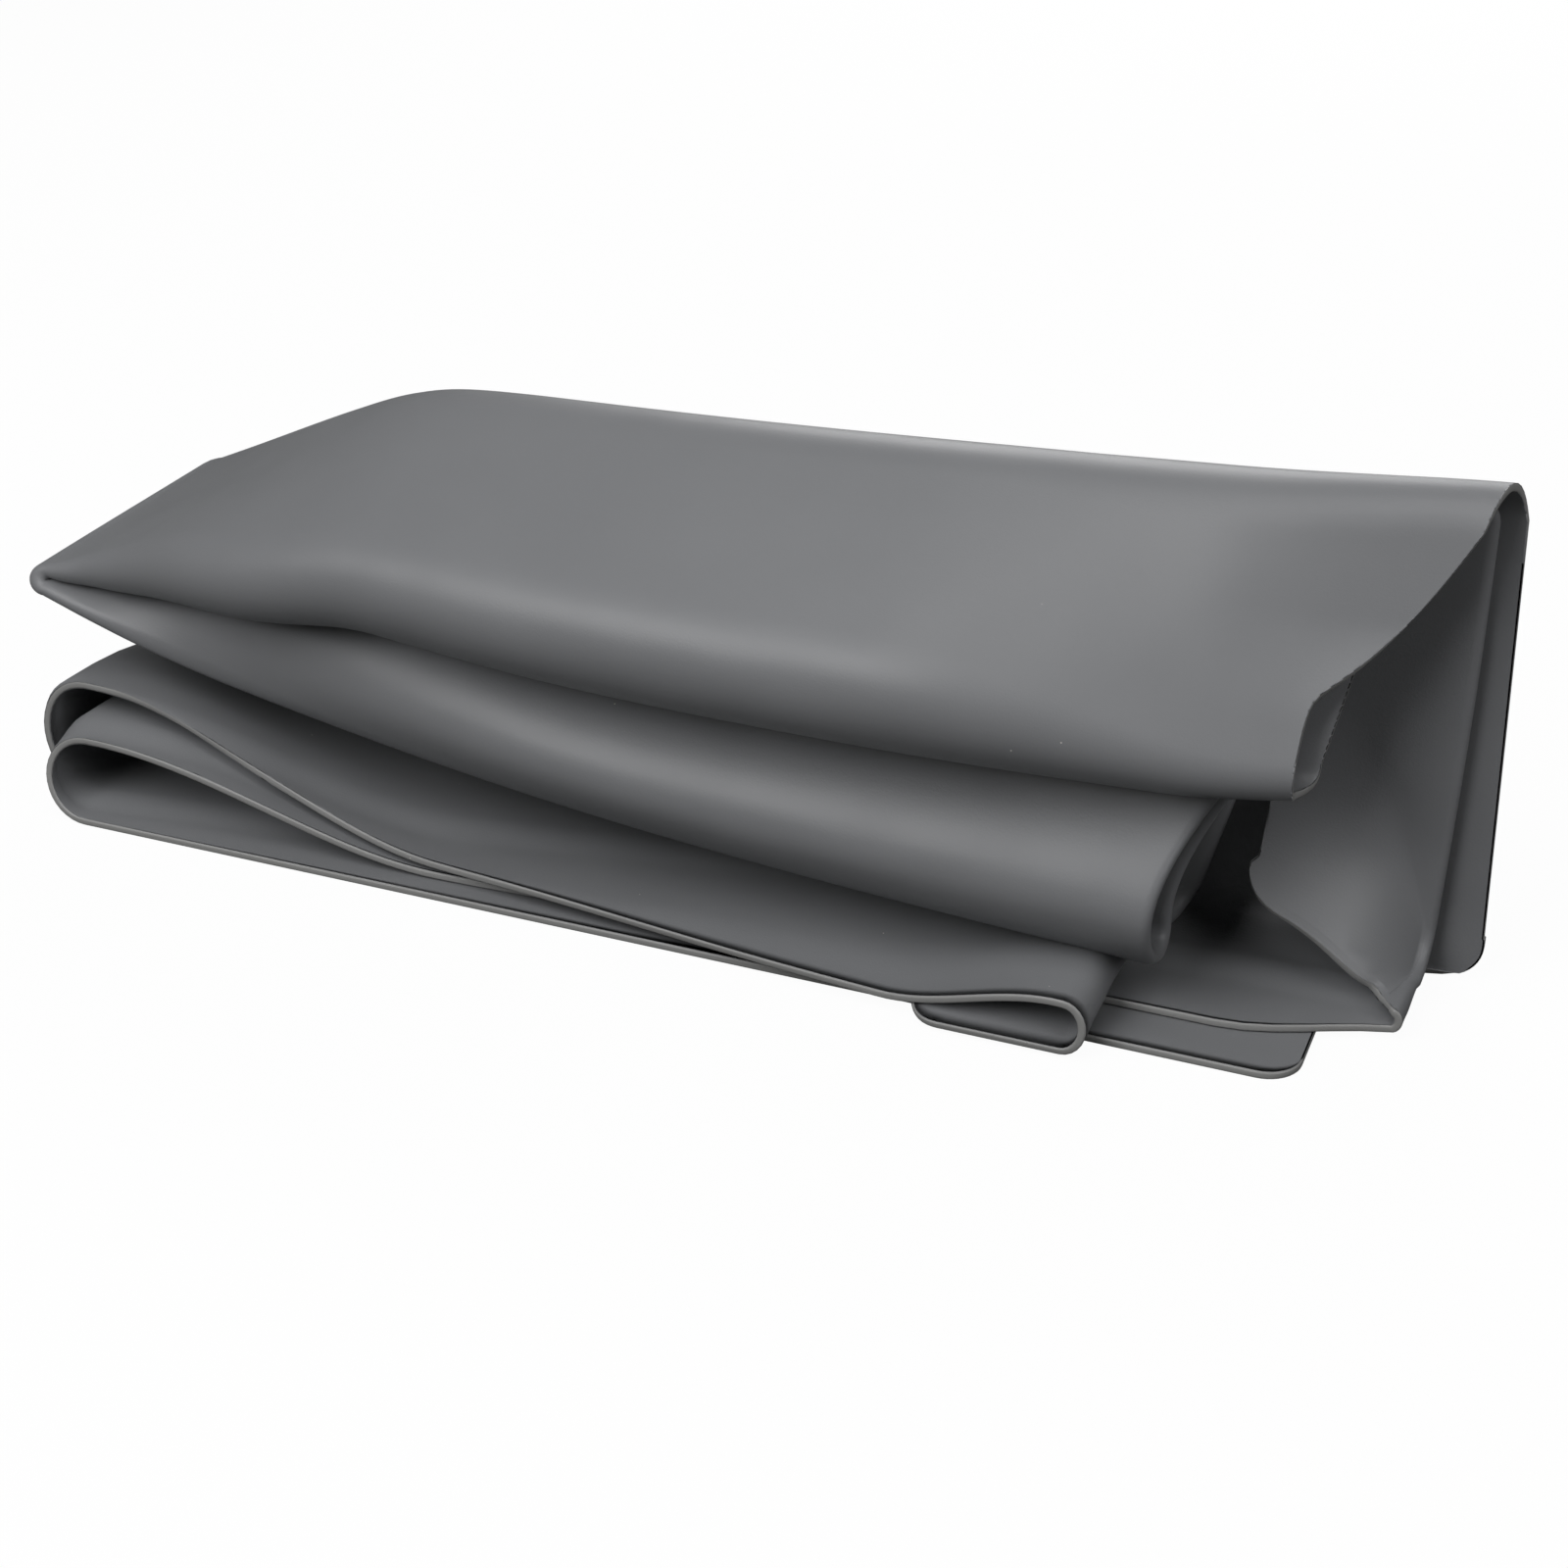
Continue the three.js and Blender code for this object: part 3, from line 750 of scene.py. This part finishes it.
    def cover_edge(self, x: float) -> float:
        """Return y of the front edge of the inner strip's upper layer."""
        (left_x, left_y), (right_x, right_y) = self.edge.cover_left, self.edge.cover_right
        return mix(left_y, right_y, (x - left_x) / (right_x - left_x))

    def corner_cut(self, distance: float) -> float:
        """Return how far a rounded corner draws the long edge back, near a cut end."""
        radius = self.sheet.corner_radius
        short = clamp(radius - distance, 0.0, radius)
        return radius - math.sqrt(radius * radius - short * short)

    def drop_start(self, x: float, s: Section) -> float:
        """Return where a layer starts to step down past the edge of the lowest layer."""
        return max(s.length_at_y(self.hidden_edge(x)), s.ground_start) + self.edge.drop_lead

    def edge_drop(self, x: float, s: Section, length: float) -> float:
        """Return how far a layer has stepped down past the edge of the lowest layer."""
        return self.sheet.pitch * ease((length - self.drop_start(x, s)) / self.edge.drop_run)

    # Layers

    def column_length(
        self, x: float, s: Section, column: Column, roll_length: float, edge_length: float
    ) -> float:
        """Return the length along a section for a column.

        Args:
            x: Station along the folded mat.
            s: The layer's section there.
            column: The grid's column.
            roll_length: Length at which the roll starts.
            edge_length: Length of the layer's edge.

        Returns:
            The length.
        """
        step_start = self.drop_start(x, s)
        step_end = step_start + self.edge.drop_run
        start, end = {
            Stretch.ROOF: (roll_length, 0.0),
            Stretch.ARCH: (0.0, s.arch_end),
            Stretch.WALL: (s.arch_end, s.heel_start),
            Stretch.HEEL: (s.heel_start, s.ground_start),
            Stretch.GROUND: (s.ground_start, step_start),
            Stretch.STEP: (step_start, step_end),
            Stretch.FRONT: (step_end, max(edge_length, step_end)),
        }[column.stretch]
        return min(mix(start, end, column.share), edge_length - column.left * self.grid.least_step)

    def upper_roll_share(self, k: float) -> float:
        """Return how far down the roof the upper roll ends."""
        roll = self.roll
        share = roll.upper_share + roll.upper_slant * k**roll.upper_slant_power
        share = mix(share, roll.upper_tip_share, ease_over(k, roll.upper_tip_span))
        return mix(share, roll.upper_close_share, ease_over(k, roll.upper_close_span))

    def upper_radius(self, x: float) -> float:
        """Return the radius of the upper roll."""
        roll, k = self.roll, self.left_share(x)
        full = roll.upper_radius + roll.upper_spread * ease_over(k, roll.upper_spread_span)
        return mix(full, roll.upper_tip_radius, k**roll.tip_power)

    def upper_start(self, x: float, s: Section) -> float:
        """Return the length along a section at which the upper roll starts."""
        return -s.roof * self.upper_roll_share(s.k) + self.upper_radius(x)

    def outer_section(self, x: float) -> Section:
        """Return the section of the outermost layer."""
        return self.section(x, 2.0 * self.sheet.pitch + self.knee_gap(x), self.outer_heel(x))

    def inner_section(self, x: float, offset: float, column: Column) -> Section:
        """Return the section of a layer of the inner strip, with its share of the roll's bulge."""
        return self.section(x, offset, self.heel(x, offset), self.bulge_of(column))

    def _panel(self, x: float) -> Panel:
        """Return the upper panel at a station."""
        s = self.section(x, 0.0, self.heel(x, 0.0))
        radius = self.upper_radius(x)
        length = self.upper_start(x, s)
        below = self.sheet.pitch + self.knee_gap(x) + self.roof_gap(x, s, length)
        return Panel(
            arch_centre=(s.centre_y, s.centre_z),
            arch_radius=self.outer_section(x).radius,
            roll_centre=s.point(length, below + radius),
            roll_radius=radius,
            roll_end=s.point(length, below),
        )

    def draped_point(self, x: float, column: Column) -> PointYZ:
        """Return a point of the top strip's upper layer where it lies on the layer below it."""
        roll, pitch = self.roll, self.sheet.pitch
        radius = self.upper_radius(x)
        if column.stretch is Stretch.ROLL:
            s = self.section(x, 0.0, self.heel(x, 0.0))
            length = self.upper_start(x, s)
            below = pitch + self.knee_gap(x) + self.roof_gap(x, s, length)
            return s.roll_point(length, below + radius * (1 - column.side), radius * column.bend)
        cut = self.corner_cut(self.top_end(column) - x)
        s = self.outer_section(x)
        start = self.upper_start(x, s)
        edge = max(s.length_at_y(self.hidden_edge(x)), s.heel_start) - cut
        length = self.column_length(x, s, column, start, edge)
        fade = ease((length - start - roll.upper_hold) / roll.upper_fade)
        swell = (2.0 * radius - pitch) * (1.0 - fade)
        return s.point(length, swell + self.roof_gap(x, s, length))

    def top_point(self, x: float, column: Column) -> PointYZ:
        """Return a point of the top strip."""
        if column.stretch is not Stretch.ROLL and column.side > 0:
            offset = self.sheet.pitch + self.knee_gap(x)
            s = self.section(x, offset, self.heel(x, offset))
            edge = s.length_at_y(self.top_edge(x)) - self.corner_cut(self.top_end(column) - x)
            length = self.column_length(x, s, column, self.upper_start(x, s), edge)
            return s.point(length, self.edge_drop(x, s, length) + self.roof_gap(x, s, length))
        draped = self.draped_point(x, column)
        if column.stretch not in (Stretch.ROLL, Stretch.ROOF, Stretch.ARCH):
            return draped
        panel = self.panel(x)
        taut = {
            Stretch.ROLL: panel.roll_point,
            Stretch.ROOF: panel.roof_point,
            Stretch.ARCH: panel.arch_point,
        }[column.stretch](column.share)
        return blend(draped, taut, ease_over(self.left_share(x), self.roll.upper_taut_span))

    @staticmethod
    def floor_share(s: Section, length: float, reach: float) -> float:
        """Return 0 on the wall, rising to 1 along the ground."""
        return ease((length - s.heel_start) / (s.heel_radius * QUARTER + reach))

    def loop_lift(self, lift: float, x: float, s: Section, length: float) -> float:
        """Return the lift of a left loop, which dies out up the wall and along the strip."""
        on_wall = ease((length - s.arch_end) / self.loop.wall_run)
        opening = ease_over(x, self.loop.left_span)
        share = mix(self.loop.wall_share, 1.0, self.floor_share(s, length, self.loop.reach))
        return lift * opening * share * on_wall

    def mouth_open(self, x: float) -> float:
        """Return how far the lower roll's end is sprung open."""
        return self.loop.mouth_open * ease_over(x, self.loop.mouth_span)

    def mouth_push(self, x: float, length: float, start: float) -> float:
        """Return the inward push of the layers behind the mouth, which dies out up the roof."""
        return self.mouth_open(x) * (1.0 - ease((length - start) / self.loop.mouth_fade))

    def bulge_of(self, column: Column) -> float:
        """Return the share of the lower roll's bulge that a column takes."""
        return mix(self.roll.lower_back_share, 1.0, (column.side + 1.0) / 2.0)

    def inner_point(self, x: float, column: Column) -> PointYZ:
        """Return a point of the inner strip."""
        loop, pitch = self.loop, self.sheet.pitch
        gap = self.inner_gap(x)
        radius = (gap + self.mouth_open(x)) / 2.0
        if column.stretch is Stretch.ROLL:
            s = self.inner_section(x, 0.0, column)
            push = -radius * (1.0 - column.side)
            return s.roll_point(-s.roof + radius, push, radius * column.bend)
        if column.side > 0:
            s = self.inner_section(x, 0.0, column)
            edge = s.length_at_y(self.inner_edge(x))
            length = self.column_length(x, s, column, -s.roof + radius, edge)
            lift = self.loop_lift(loop.lower_lift, x, s, length)
            return s.point(length, self.edge_drop(x, s, length) - lift)
        s = self.inner_section(x, -gap, column)
        edge = s.length_at_y(self.cover_edge(x))
        length = self.column_length(x, s, column, -s.roof + radius, edge)
        past = self.inner_edge(x) - self.edge.cover_lead - s.y_at_length(length)
        settle = gap - pitch - self.edge.cover_air + pitch * ease(past / self.edge.cover_run)
        settle -= loop.right_lift * ease_over(x, loop.right_span)
        settle += self.edge_drop(x, s, length)
        push = settle * self.floor_share(s, length, loop.cover_reach)
        inward = self.loop_lift(loop.upper_lift, x, s, length)
        inward += self.mouth_push(x, length, -s.roof + radius)
        return s.point(length, push - inward)

    def flap_point(self, x: float, column: Column) -> PointYZ:
        """Return a point of the end flap, which is turned back inside the inner strip."""
        loop, pitch = self.loop, self.sheet.pitch
        distance = self.right_start(column) - x
        cut = self.corner_cut(self.sheet.flap_length - distance)
        gap = self.inner_gap(x)
        mouth = (gap + self.mouth_open(x)) / 2.0
        radius = mouth - pitch
        if column.stretch is Stretch.ROLL:
            s = self.inner_section(x, 0.0, column)
            push = -mouth + radius * column.side
            return s.roll_point(-s.roof + mouth, push, radius * column.bend)
        if column.side > 0:
            lift = 1.0 - math.exp(-distance / loop.flap_lift_run)
            heel = self.heel(x, -pitch) + loop.flap_lift_radius * lift
            s = self.section(x, -pitch, heel, self.bulge_of(column))
            settle = math.exp(-distance / loop.flap_settle_run)
            foot = s.heel_start + s.heel_radius * QUARTER * mix(loop.flap_foot_share, 1.0, settle)
            ground = max(s.wall_y - s.heel_radius - self.inner_edge(x), 0.0)
            edge = foot + ground * settle - cut
            return s.point(self.column_length(x, s, column, -s.roof + mouth, edge), 0.0)
        s = self.inner_section(x, pitch - gap, column)
        edge = s.length_at_y(loop.flap_edge_y) - cut
        length = self.column_length(x, s, column, -s.roof + mouth, edge)
        y = s.y_at_length(length)
        low = loop.flap_low_height + pitch * ease((y - loop.flap_edge_y) / loop.flap_step_run)
        low += pitch * ease((y - loop.flap_step_y) / loop.flap_upper_run)
        settle = (s.ground_z - low) * self.floor_share(s, length, loop.cover_reach)
        return s.point(length, settle - self.mouth_push(x, length, -s.roof + mouth))

    # Ends and folds

    def top_end(self, column: Column) -> float:
        """Return x of the top strip's cut end."""
        end, reach = self.end, self.reach
        if column.side > 0:
            lean = end.top_lean * ease(column.side)
            floor = end.top_floor * clamp(column.reach / end.top_floor_reach, 0.0, 1.0)
            return end.top_x + lean + floor
        arch, wall = reach[Stretch.ARCH], reach[Stretch.WALL]
        climb = soft_ramp(share_of(column.reach, end.top_turn_reach, arch), end.top_turn_softness)
        on_wall = clamp(share_of(column.reach, arch, wall), 0.0, 1.0)
        climb = min(climb, 1.0) ** end.top_turn_power
        return end.top_x + end.top_roof * climb + end.top_wall * on_wall

    def open_share(self, column: Column) -> float:
        """Return how far a fold's turn is sprung open at a column."""
        return ease_over(column.reach, (self.end.open_reach, 1.0))

    def inner_end(self, column: Column) -> float:
        """Return x of the right fold."""
        end = self.end
        if column.side < 0:
            lean = end.cover_lean * ease(column.reach / end.cover_lean_reach)
            back = end.cover_back * ease_over(column.reach, (end.cover_lean_reach, 1.0))
            return end.inner_x + lean - back
        rise = ease(column.reach / self.reach[Stretch.ARCH]) ** end.inner_power
        return end.inner_x + end.inner_roof * rise - end.inner_back * self.open_share(column)

    def left_turn(self, column: Column) -> float:
        """Return the depth of the left fold's turn."""
        end, opening = self.end, self.open_share(column)
        outer = end.left_outer + end.left_outer_open * opening
        inner = end.left_inner + end.left_inner_open * opening
        return mix(outer, inner, ease((column.side + 1.0) / 2.0))

    def left_start(self, column: Column) -> float:
        """Return x at which the left fold's turn starts."""
        end, opening = self.end, self.open_share(column)
        spacing = end.left_spacing + end.left_spacing_open * opening
        inset = end.left_set_back * opening + spacing * ease((column.side + 1.0) / 2.0)
        return self.ridge.left_fold_x + inset + self.left_turn(column)

    def right_turn(self, column: Column) -> float:
        """Return the depth of the right fold's turn."""
        opening = self.end.right_open * self.open_share(column) if column.side < 0 else 0.0
        return self.end.right_tight + opening

    def right_start(self, column: Column) -> float:
        """Return x at which the right fold's turn starts."""
        return self.inner_end(column) - self.right_turn(column)

    # Grid

    def columns(self) -> list[Column]:
        """Return the columns: one long edge, its half, the roll, the other half, the other edge."""
        half: list[tuple[Stretch, float, float]] = [(Stretch.ROOF, 0.0, 0.0)]
        reached = 0.0
        for stretch, steps, reach in self.grid.stretches:
            for i in range(1, steps + 1):
                half.append((stretch, mix(reached, reach, i / steps), i / steps))
            reached = reach

        def side_columns(side: float) -> list[Column]:
            """Return one half's columns, going out from the roll."""
            last = len(half) - 1
            return [
                Column(stretch, reach, side, share, last - i)
                for i, (stretch, reach, share) in enumerate(half)
            ]

        rolls = [
            Column(Stretch.ROLL, 0.0, -math.cos(math.pi * t), t, bend=math.sin(math.pi * t))
            for t in (i / self.grid.roll for i in range(1, self.grid.roll))
        ]
        return side_columns(-1.0)[::-1] + rolls + side_columns(1.0)

    def mid_surface(self) -> np.ndarray:
        """Return the sheet's mid-surface as rows of points, from one cut end to the other."""
        columns, grid = self.columns(), self.grid
        rows: list[list[tuple[float, float, float]]] = []
        Station = Callable[[Column], float]
        Layer = Callable[[float, Column], PointYZ]

        def add_row(station: Station, layer: Layer) -> None:
            """Add one row of a layer."""
            rows.append([(station(c), *layer(station(c), c)) for c in columns])

        def add_run(count: int, start: Station, end: Station, layer: Layer) -> None:
            """Add evenly spaced rows of a layer, without the last."""
            for i in range(count):
                add_row(lambda c, s=i / count: mix(start(c), end(c), s), layer)

        def add_turn(
            count: int, station: Station, depth: Station, start: Layer, end: Layer
        ) -> None:
            """Add the rows of a fold's turn, without the last."""
            for i in range(count):
                angle = math.pi * i / count
                share = (1.0 - math.cos(angle)) / 2.0
                row = []
                for c in columns:
                    (y0, z0), (y1, z1) = start(station(c), c), end(station(c), c)
                    x = station(c) + depth(c) * math.sin(angle)
                    row.append((x, mix(y0, y1, share), mix(z0, z1, share)))
                rows.append(row)

        radius = self.sheet.corner_radius
        angles = [QUARTER * i / grid.corner for i in range(grid.corner + 1)]
        depths = [radius * (1 - math.cos(angle)) for angle in angles]

        def middle_left(_: Column) -> float:
            """Return the left end of the rows that both strips share."""
            return grid.middle_left_x

        def middle_right(_: Column) -> float:
            """Return the right end of the rows that both strips share."""
            return grid.middle_right_x

        def left_depth(c: Column) -> float:
            """Return the depth of the left fold's turn, towards the left."""
            return -self.left_turn(c)

        def flap_end(c: Column) -> float:
            """Return x of the flap's cut end."""
            return self.right_start(c) - self.sheet.flap_length

        for depth in depths[:-1]:
            add_row(lambda c, d=depth: self.top_end(c) - d, self.top_point)
        add_run(grid.end, lambda c: self.top_end(c) - radius, middle_right, self.top_point)
        add_run(grid.middle, middle_right, middle_left, self.top_point)
        add_run(grid.join, middle_left, self.left_start, self.top_point)
        add_turn(grid.left, self.left_start, left_depth, self.top_point, self.inner_point)
        add_run(grid.join, self.left_start, middle_left, self.inner_point)
        add_run(grid.middle, middle_left, middle_right, self.inner_point)
        add_run(grid.end, middle_right, self.right_start, self.inner_point)
        add_turn(grid.right, self.right_start, self.right_turn, self.inner_point, self.flap_point)
        add_run(grid.flap, self.right_start, lambda c: flap_end(c) + radius, self.flap_point)
        for depth in reversed(depths):
            add_row(lambda c, d=depth: flap_end(c) + d, self.flap_point)
        return np.array(rows)

    # Mesh

    @staticmethod
    def _unit(vectors: np.ndarray) -> np.ndarray:
        """Return the vectors at unit length."""
        lengths = np.linalg.norm(vectors, axis=-1, keepdims=True)
        return vectors / np.maximum(lengths, TINY)

    def _tangents(self, points: np.ndarray, axis: int) -> np.ndarray:
        """Return the mean direction before and after each point along an axis of the grid."""
        steps = self._unit(np.diff(points, axis=axis))
        first = np.take(steps, [0], axis=axis)
        last = np.take(steps, [-1], axis=axis)
        before = np.concatenate([first, steps], axis=axis)
        after = np.concatenate([steps, last], axis=axis)
        return before + after

    def build(self) -> bpy.types.Object:
        """Build the mat where its solid is, ride it on the frame and dress it.

        Returns:
            The mat's object.
        """
        points = self.mid_surface()
        along, across = self._tangents(points, 0), self._tangents(points, 1)
        normals = self._unit(np.cross(along, across))
        vertices, faces, rim_highlight = self._solid(points, normals)
        low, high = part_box(self.NODE)
        vertices *= MM
        shift = (np.array(low) + np.array(high)) / 2 - (vertices.min(0) + vertices.max(0)) / 2
        shift[2] = low.z - vertices[:, 2].min()
        self.shift = Vector(shift)
        mesh = bpy.data.meshes.new("folded_mat")
        mesh.from_pydata((vertices + shift).tolist(), [], faces.tolist())
        mesh.polygons.foreach_set("use_smooth", np.ones(len(faces), bool))
        attribute = mesh.attributes.new(self.RIM_HIGHLIGHT_ATTRIBUTE, "FLOAT", "POINT")
        attribute.data.foreach_set("value", rim_highlight.astype(np.float32))
        mesh.materials.append(self.finish.material())
        mesh.update()
        mat = bpy.data.objects.new("folded_mat", mesh)
        bpy.context.scene.collection.objects.link(mat)
        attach(mat, "root")
        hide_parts(self.NODE)
        return mat

    def _solid(
        self, points: np.ndarray, normals: np.ndarray
    ) -> tuple[np.ndarray, np.ndarray, np.ndarray]:
        """Return the closed sheet: two faces and a cut edge with rounded arrises.

        Args:
            points: The mid-surface's grid.
            normals: Unit normals of that grid.

        Returns:
            Vertices in millimetres, quads, and 1 for each vertex on the cut edge's arrises, where
            the highlight is painted.
        """
        height, width = points.shape[:2]
        half, radius = self.sheet.half, self.sheet.arris_radius
        loop = self._boundary(height, width)
        rows, cols = loop[:, 0], loop[:, 1]
        edge, normal = points[rows, cols], normals[rows, cols]
        direction = np.roll(edge, -1, axis=0) - np.roll(edge, 1, axis=0)
        outward = self._unit(np.cross(normal, direction))
        inside = points[np.clip(rows, 1, height - 2), np.clip(cols, 1, width - 2)]
        outward *= np.sign(np.sum(outward * (edge - inside), axis=1))[:, None]

        inset = points.copy()
        inset[rows, cols] -= outward * radius
        upper, lower = inset + normals * half, inset - normals * half
        rings: list[np.ndarray] = []
        steps = self.grid.rim_steps
        angles = [QUARTER * (1.0 - i / steps) for i in range(1, steps + 1)]
        for sign in (1.0, -1.0):
            for angle in angles if sign > 0 else angles[::-1]:
                out = radius * (math.cos(angle) - 1.0)
                rise = sign * (half - radius + radius * math.sin(angle))
                rings.append(edge + outward * out + normal * rise)
        vertices = np.concatenate([upper.reshape(-1, 3), lower.reshape(-1, 3), *rings])
        count = height * width
        grid = np.arange(count).reshape(height, width)
        corners = [grid[:-1, :-1], grid[1:, :-1], grid[1:, 1:], grid[:-1, 1:]]
        quads = np.stack(corners, -1).reshape(-1, 4)
        faces = [quads, quads[:, ::-1] + count]
        around = np.arange(len(loop))
        bands = [grid[rows, cols]]
        bands += [2 * count + i * len(loop) + around for i in range(len(rings))]
        bands.append(grid[rows, cols] + count)
        for first, second in zip(bands, bands[1:]):
            faces.append(np.stack([first, second, np.roll(second, -1), np.roll(first, -1)], -1))
        # 1 on the cut edge's vertices: where the highlight is painted in a lighter colour.
        rim_highlight = np.zeros(len(vertices))
        rim_highlight[2 * count:] = 1.0
        return vertices, np.concatenate(faces), rim_highlight

    @staticmethod
    def _boundary(height: int, width: int) -> np.ndarray:
        """Return the grid's boundary as one loop of row and column numbers."""
        top = [(0, j) for j in range(width - 1)]
        right = [(i, width - 1) for i in range(height - 1)]
        bottom = [(height - 1, j) for j in range(width - 1, 0, -1)]
        left = [(i, 0) for i in range(height - 1, 0, -1)]
        return np.array(top + right + bottom + left)


@dataclass(frozen=True)
class Lamp:
    """A square soft lamp."""

    name: str
    place: tuple[float, float, float]
    size: float
    power: float
    aim: tuple[float, float, float] = (0.0, 0.0, 0.05)


@dataclass
class Studio:
    """Pale floor, white surroundings, soft lamps and the camera."""

    eye: tuple[float, float, float] = (181.0, -392.0, 234.0)
    pitch: float = 26.1
    turn: float = 22.6
    focal_pixels: float = 2450.0
    sensor: float = 36.0
    floor_size: float = 6.0
    floor_white: float = 0.96
    floor_pale: Colour = (0.9, 0.9, 0.9, 1.0)
    floor_bounce: Colour = (0.1, 0.1, 0.1, 1.0)
    world_strength: float = 0.03
    lamps: tuple[Lamp, ...] = (
        Lamp("key", (-0.55, -1.1, 1.0), 1.0, 15.2),
        Lamp("over", (0.0, -0.4, 1.5), 1.0, 7.4),
        Lamp("right", (1.25, -0.5, 0.9), 0.8, 6.0),
        Lamp("back", (-0.2, 1.4, 0.8), 1.0, 10.0),
    )

    def build(self, shift: Vector) -> None:
        """Build the surroundings.

        Args:
            shift: From the folding formulas' origin to the frame's.
        """
        self._floor()
        self._world()
        for lamp in self.lamps:
            self._lamp(lamp)
        self._camera(shift)
        bpy.context.scene.view_settings.view_transform = "Standard"

    def _floor(self) -> None:
        """Add the floor: white to the camera but for the mat's shadow, and dim to the mat."""
        half = self.floor_size / 2
        mesh = bpy.data.meshes.new("floor")
        corners = [(-half, -half, 0), (half, -half, 0), (half, half, 0), (-half, half, 0)]
        mesh.from_pydata(corners, [], [(0, 1, 2, 3)])
        material = bpy.data.materials.new("floor_white")
        nodes = Nodes.of(material)
        seen = nodes.seen()
        pale = nodes.blend(seen, self.floor_bounce, self.floor_pale)
        layers = {
            "Fac": nodes.combine("MULTIPLY", seen, self.floor_white),
            1: nodes.add("BsdfDiffuse", {"Color": pale}).outputs["BSDF"],
            2: nodes.add("Emission", {"Color": WHITE, "Strength": 1.0}).outputs["Emission"],
        }
        shader = nodes.add("MixShader", layers)
        nodes.add("OutputMaterial", {"Surface": shader.outputs["Shader"]})
        mesh.materials.append(material)
        floor = bpy.data.objects.new("floor", mesh)
        bpy.context.scene.collection.objects.link(floor)

    def _world(self) -> None:
        """Set the surroundings: white to the camera, plain soft light to the mat."""
        world = bpy.data.worlds.new("studio")
        nodes = Nodes.of(world)
        strength = nodes.scale(nodes.seen(), self.world_strength, 1.0)
        sky = nodes.add("Background", {"Color": WHITE, "Strength": strength})
        nodes.add("OutputWorld", {"Surface": sky.outputs["Background"]})
        bpy.context.scene.world = world

    @staticmethod
    def _lamp(lamp: Lamp) -> None:
        """Add one soft lamp."""
        data = bpy.data.lights.new(lamp.name, "AREA")
        data.shape = "SQUARE"
        data.size = lamp.size
        data.energy = lamp.power
        light = bpy.data.objects.new(lamp.name, data)
        light.location = lamp.place
        aim = Vector(lamp.aim) - Vector(lamp.place)
        light.rotation_euler = aim.to_track_quat("-Z", "Y").to_euler()
        bpy.context.scene.collection.objects.link(light)

    def _camera(self, shift: Vector) -> None:
        """Add the camera at the photograph's viewing angle."""
        data = bpy.data.cameras.new("camera")
        data.sensor_width = self.sensor
        data.lens = self.sensor * self.focal_pixels / IMAGE_SIZE
        camera = bpy.data.objects.new("camera", data)
        camera.location = Vector(self.eye) * MM + shift
        camera.rotation_euler = (math.radians(90.0 - self.pitch), 0.0, math.radians(self.turn))
        bpy.context.scene.collection.objects.link(camera)
        bpy.context.scene.camera = camera


def main() -> None:
    """Build the mat and its surroundings round the frame."""
    logging.basicConfig(level=logging.INFO, format="%(name)s: %(message)s")
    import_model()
    folded = FoldedMat()
    mat = folded.build()
    LOG.info("%s: %d vertices", mat.name, len(mat.data.vertices))
    Studio().build(folded.shift)


if __name__ == "__main__":
    main()
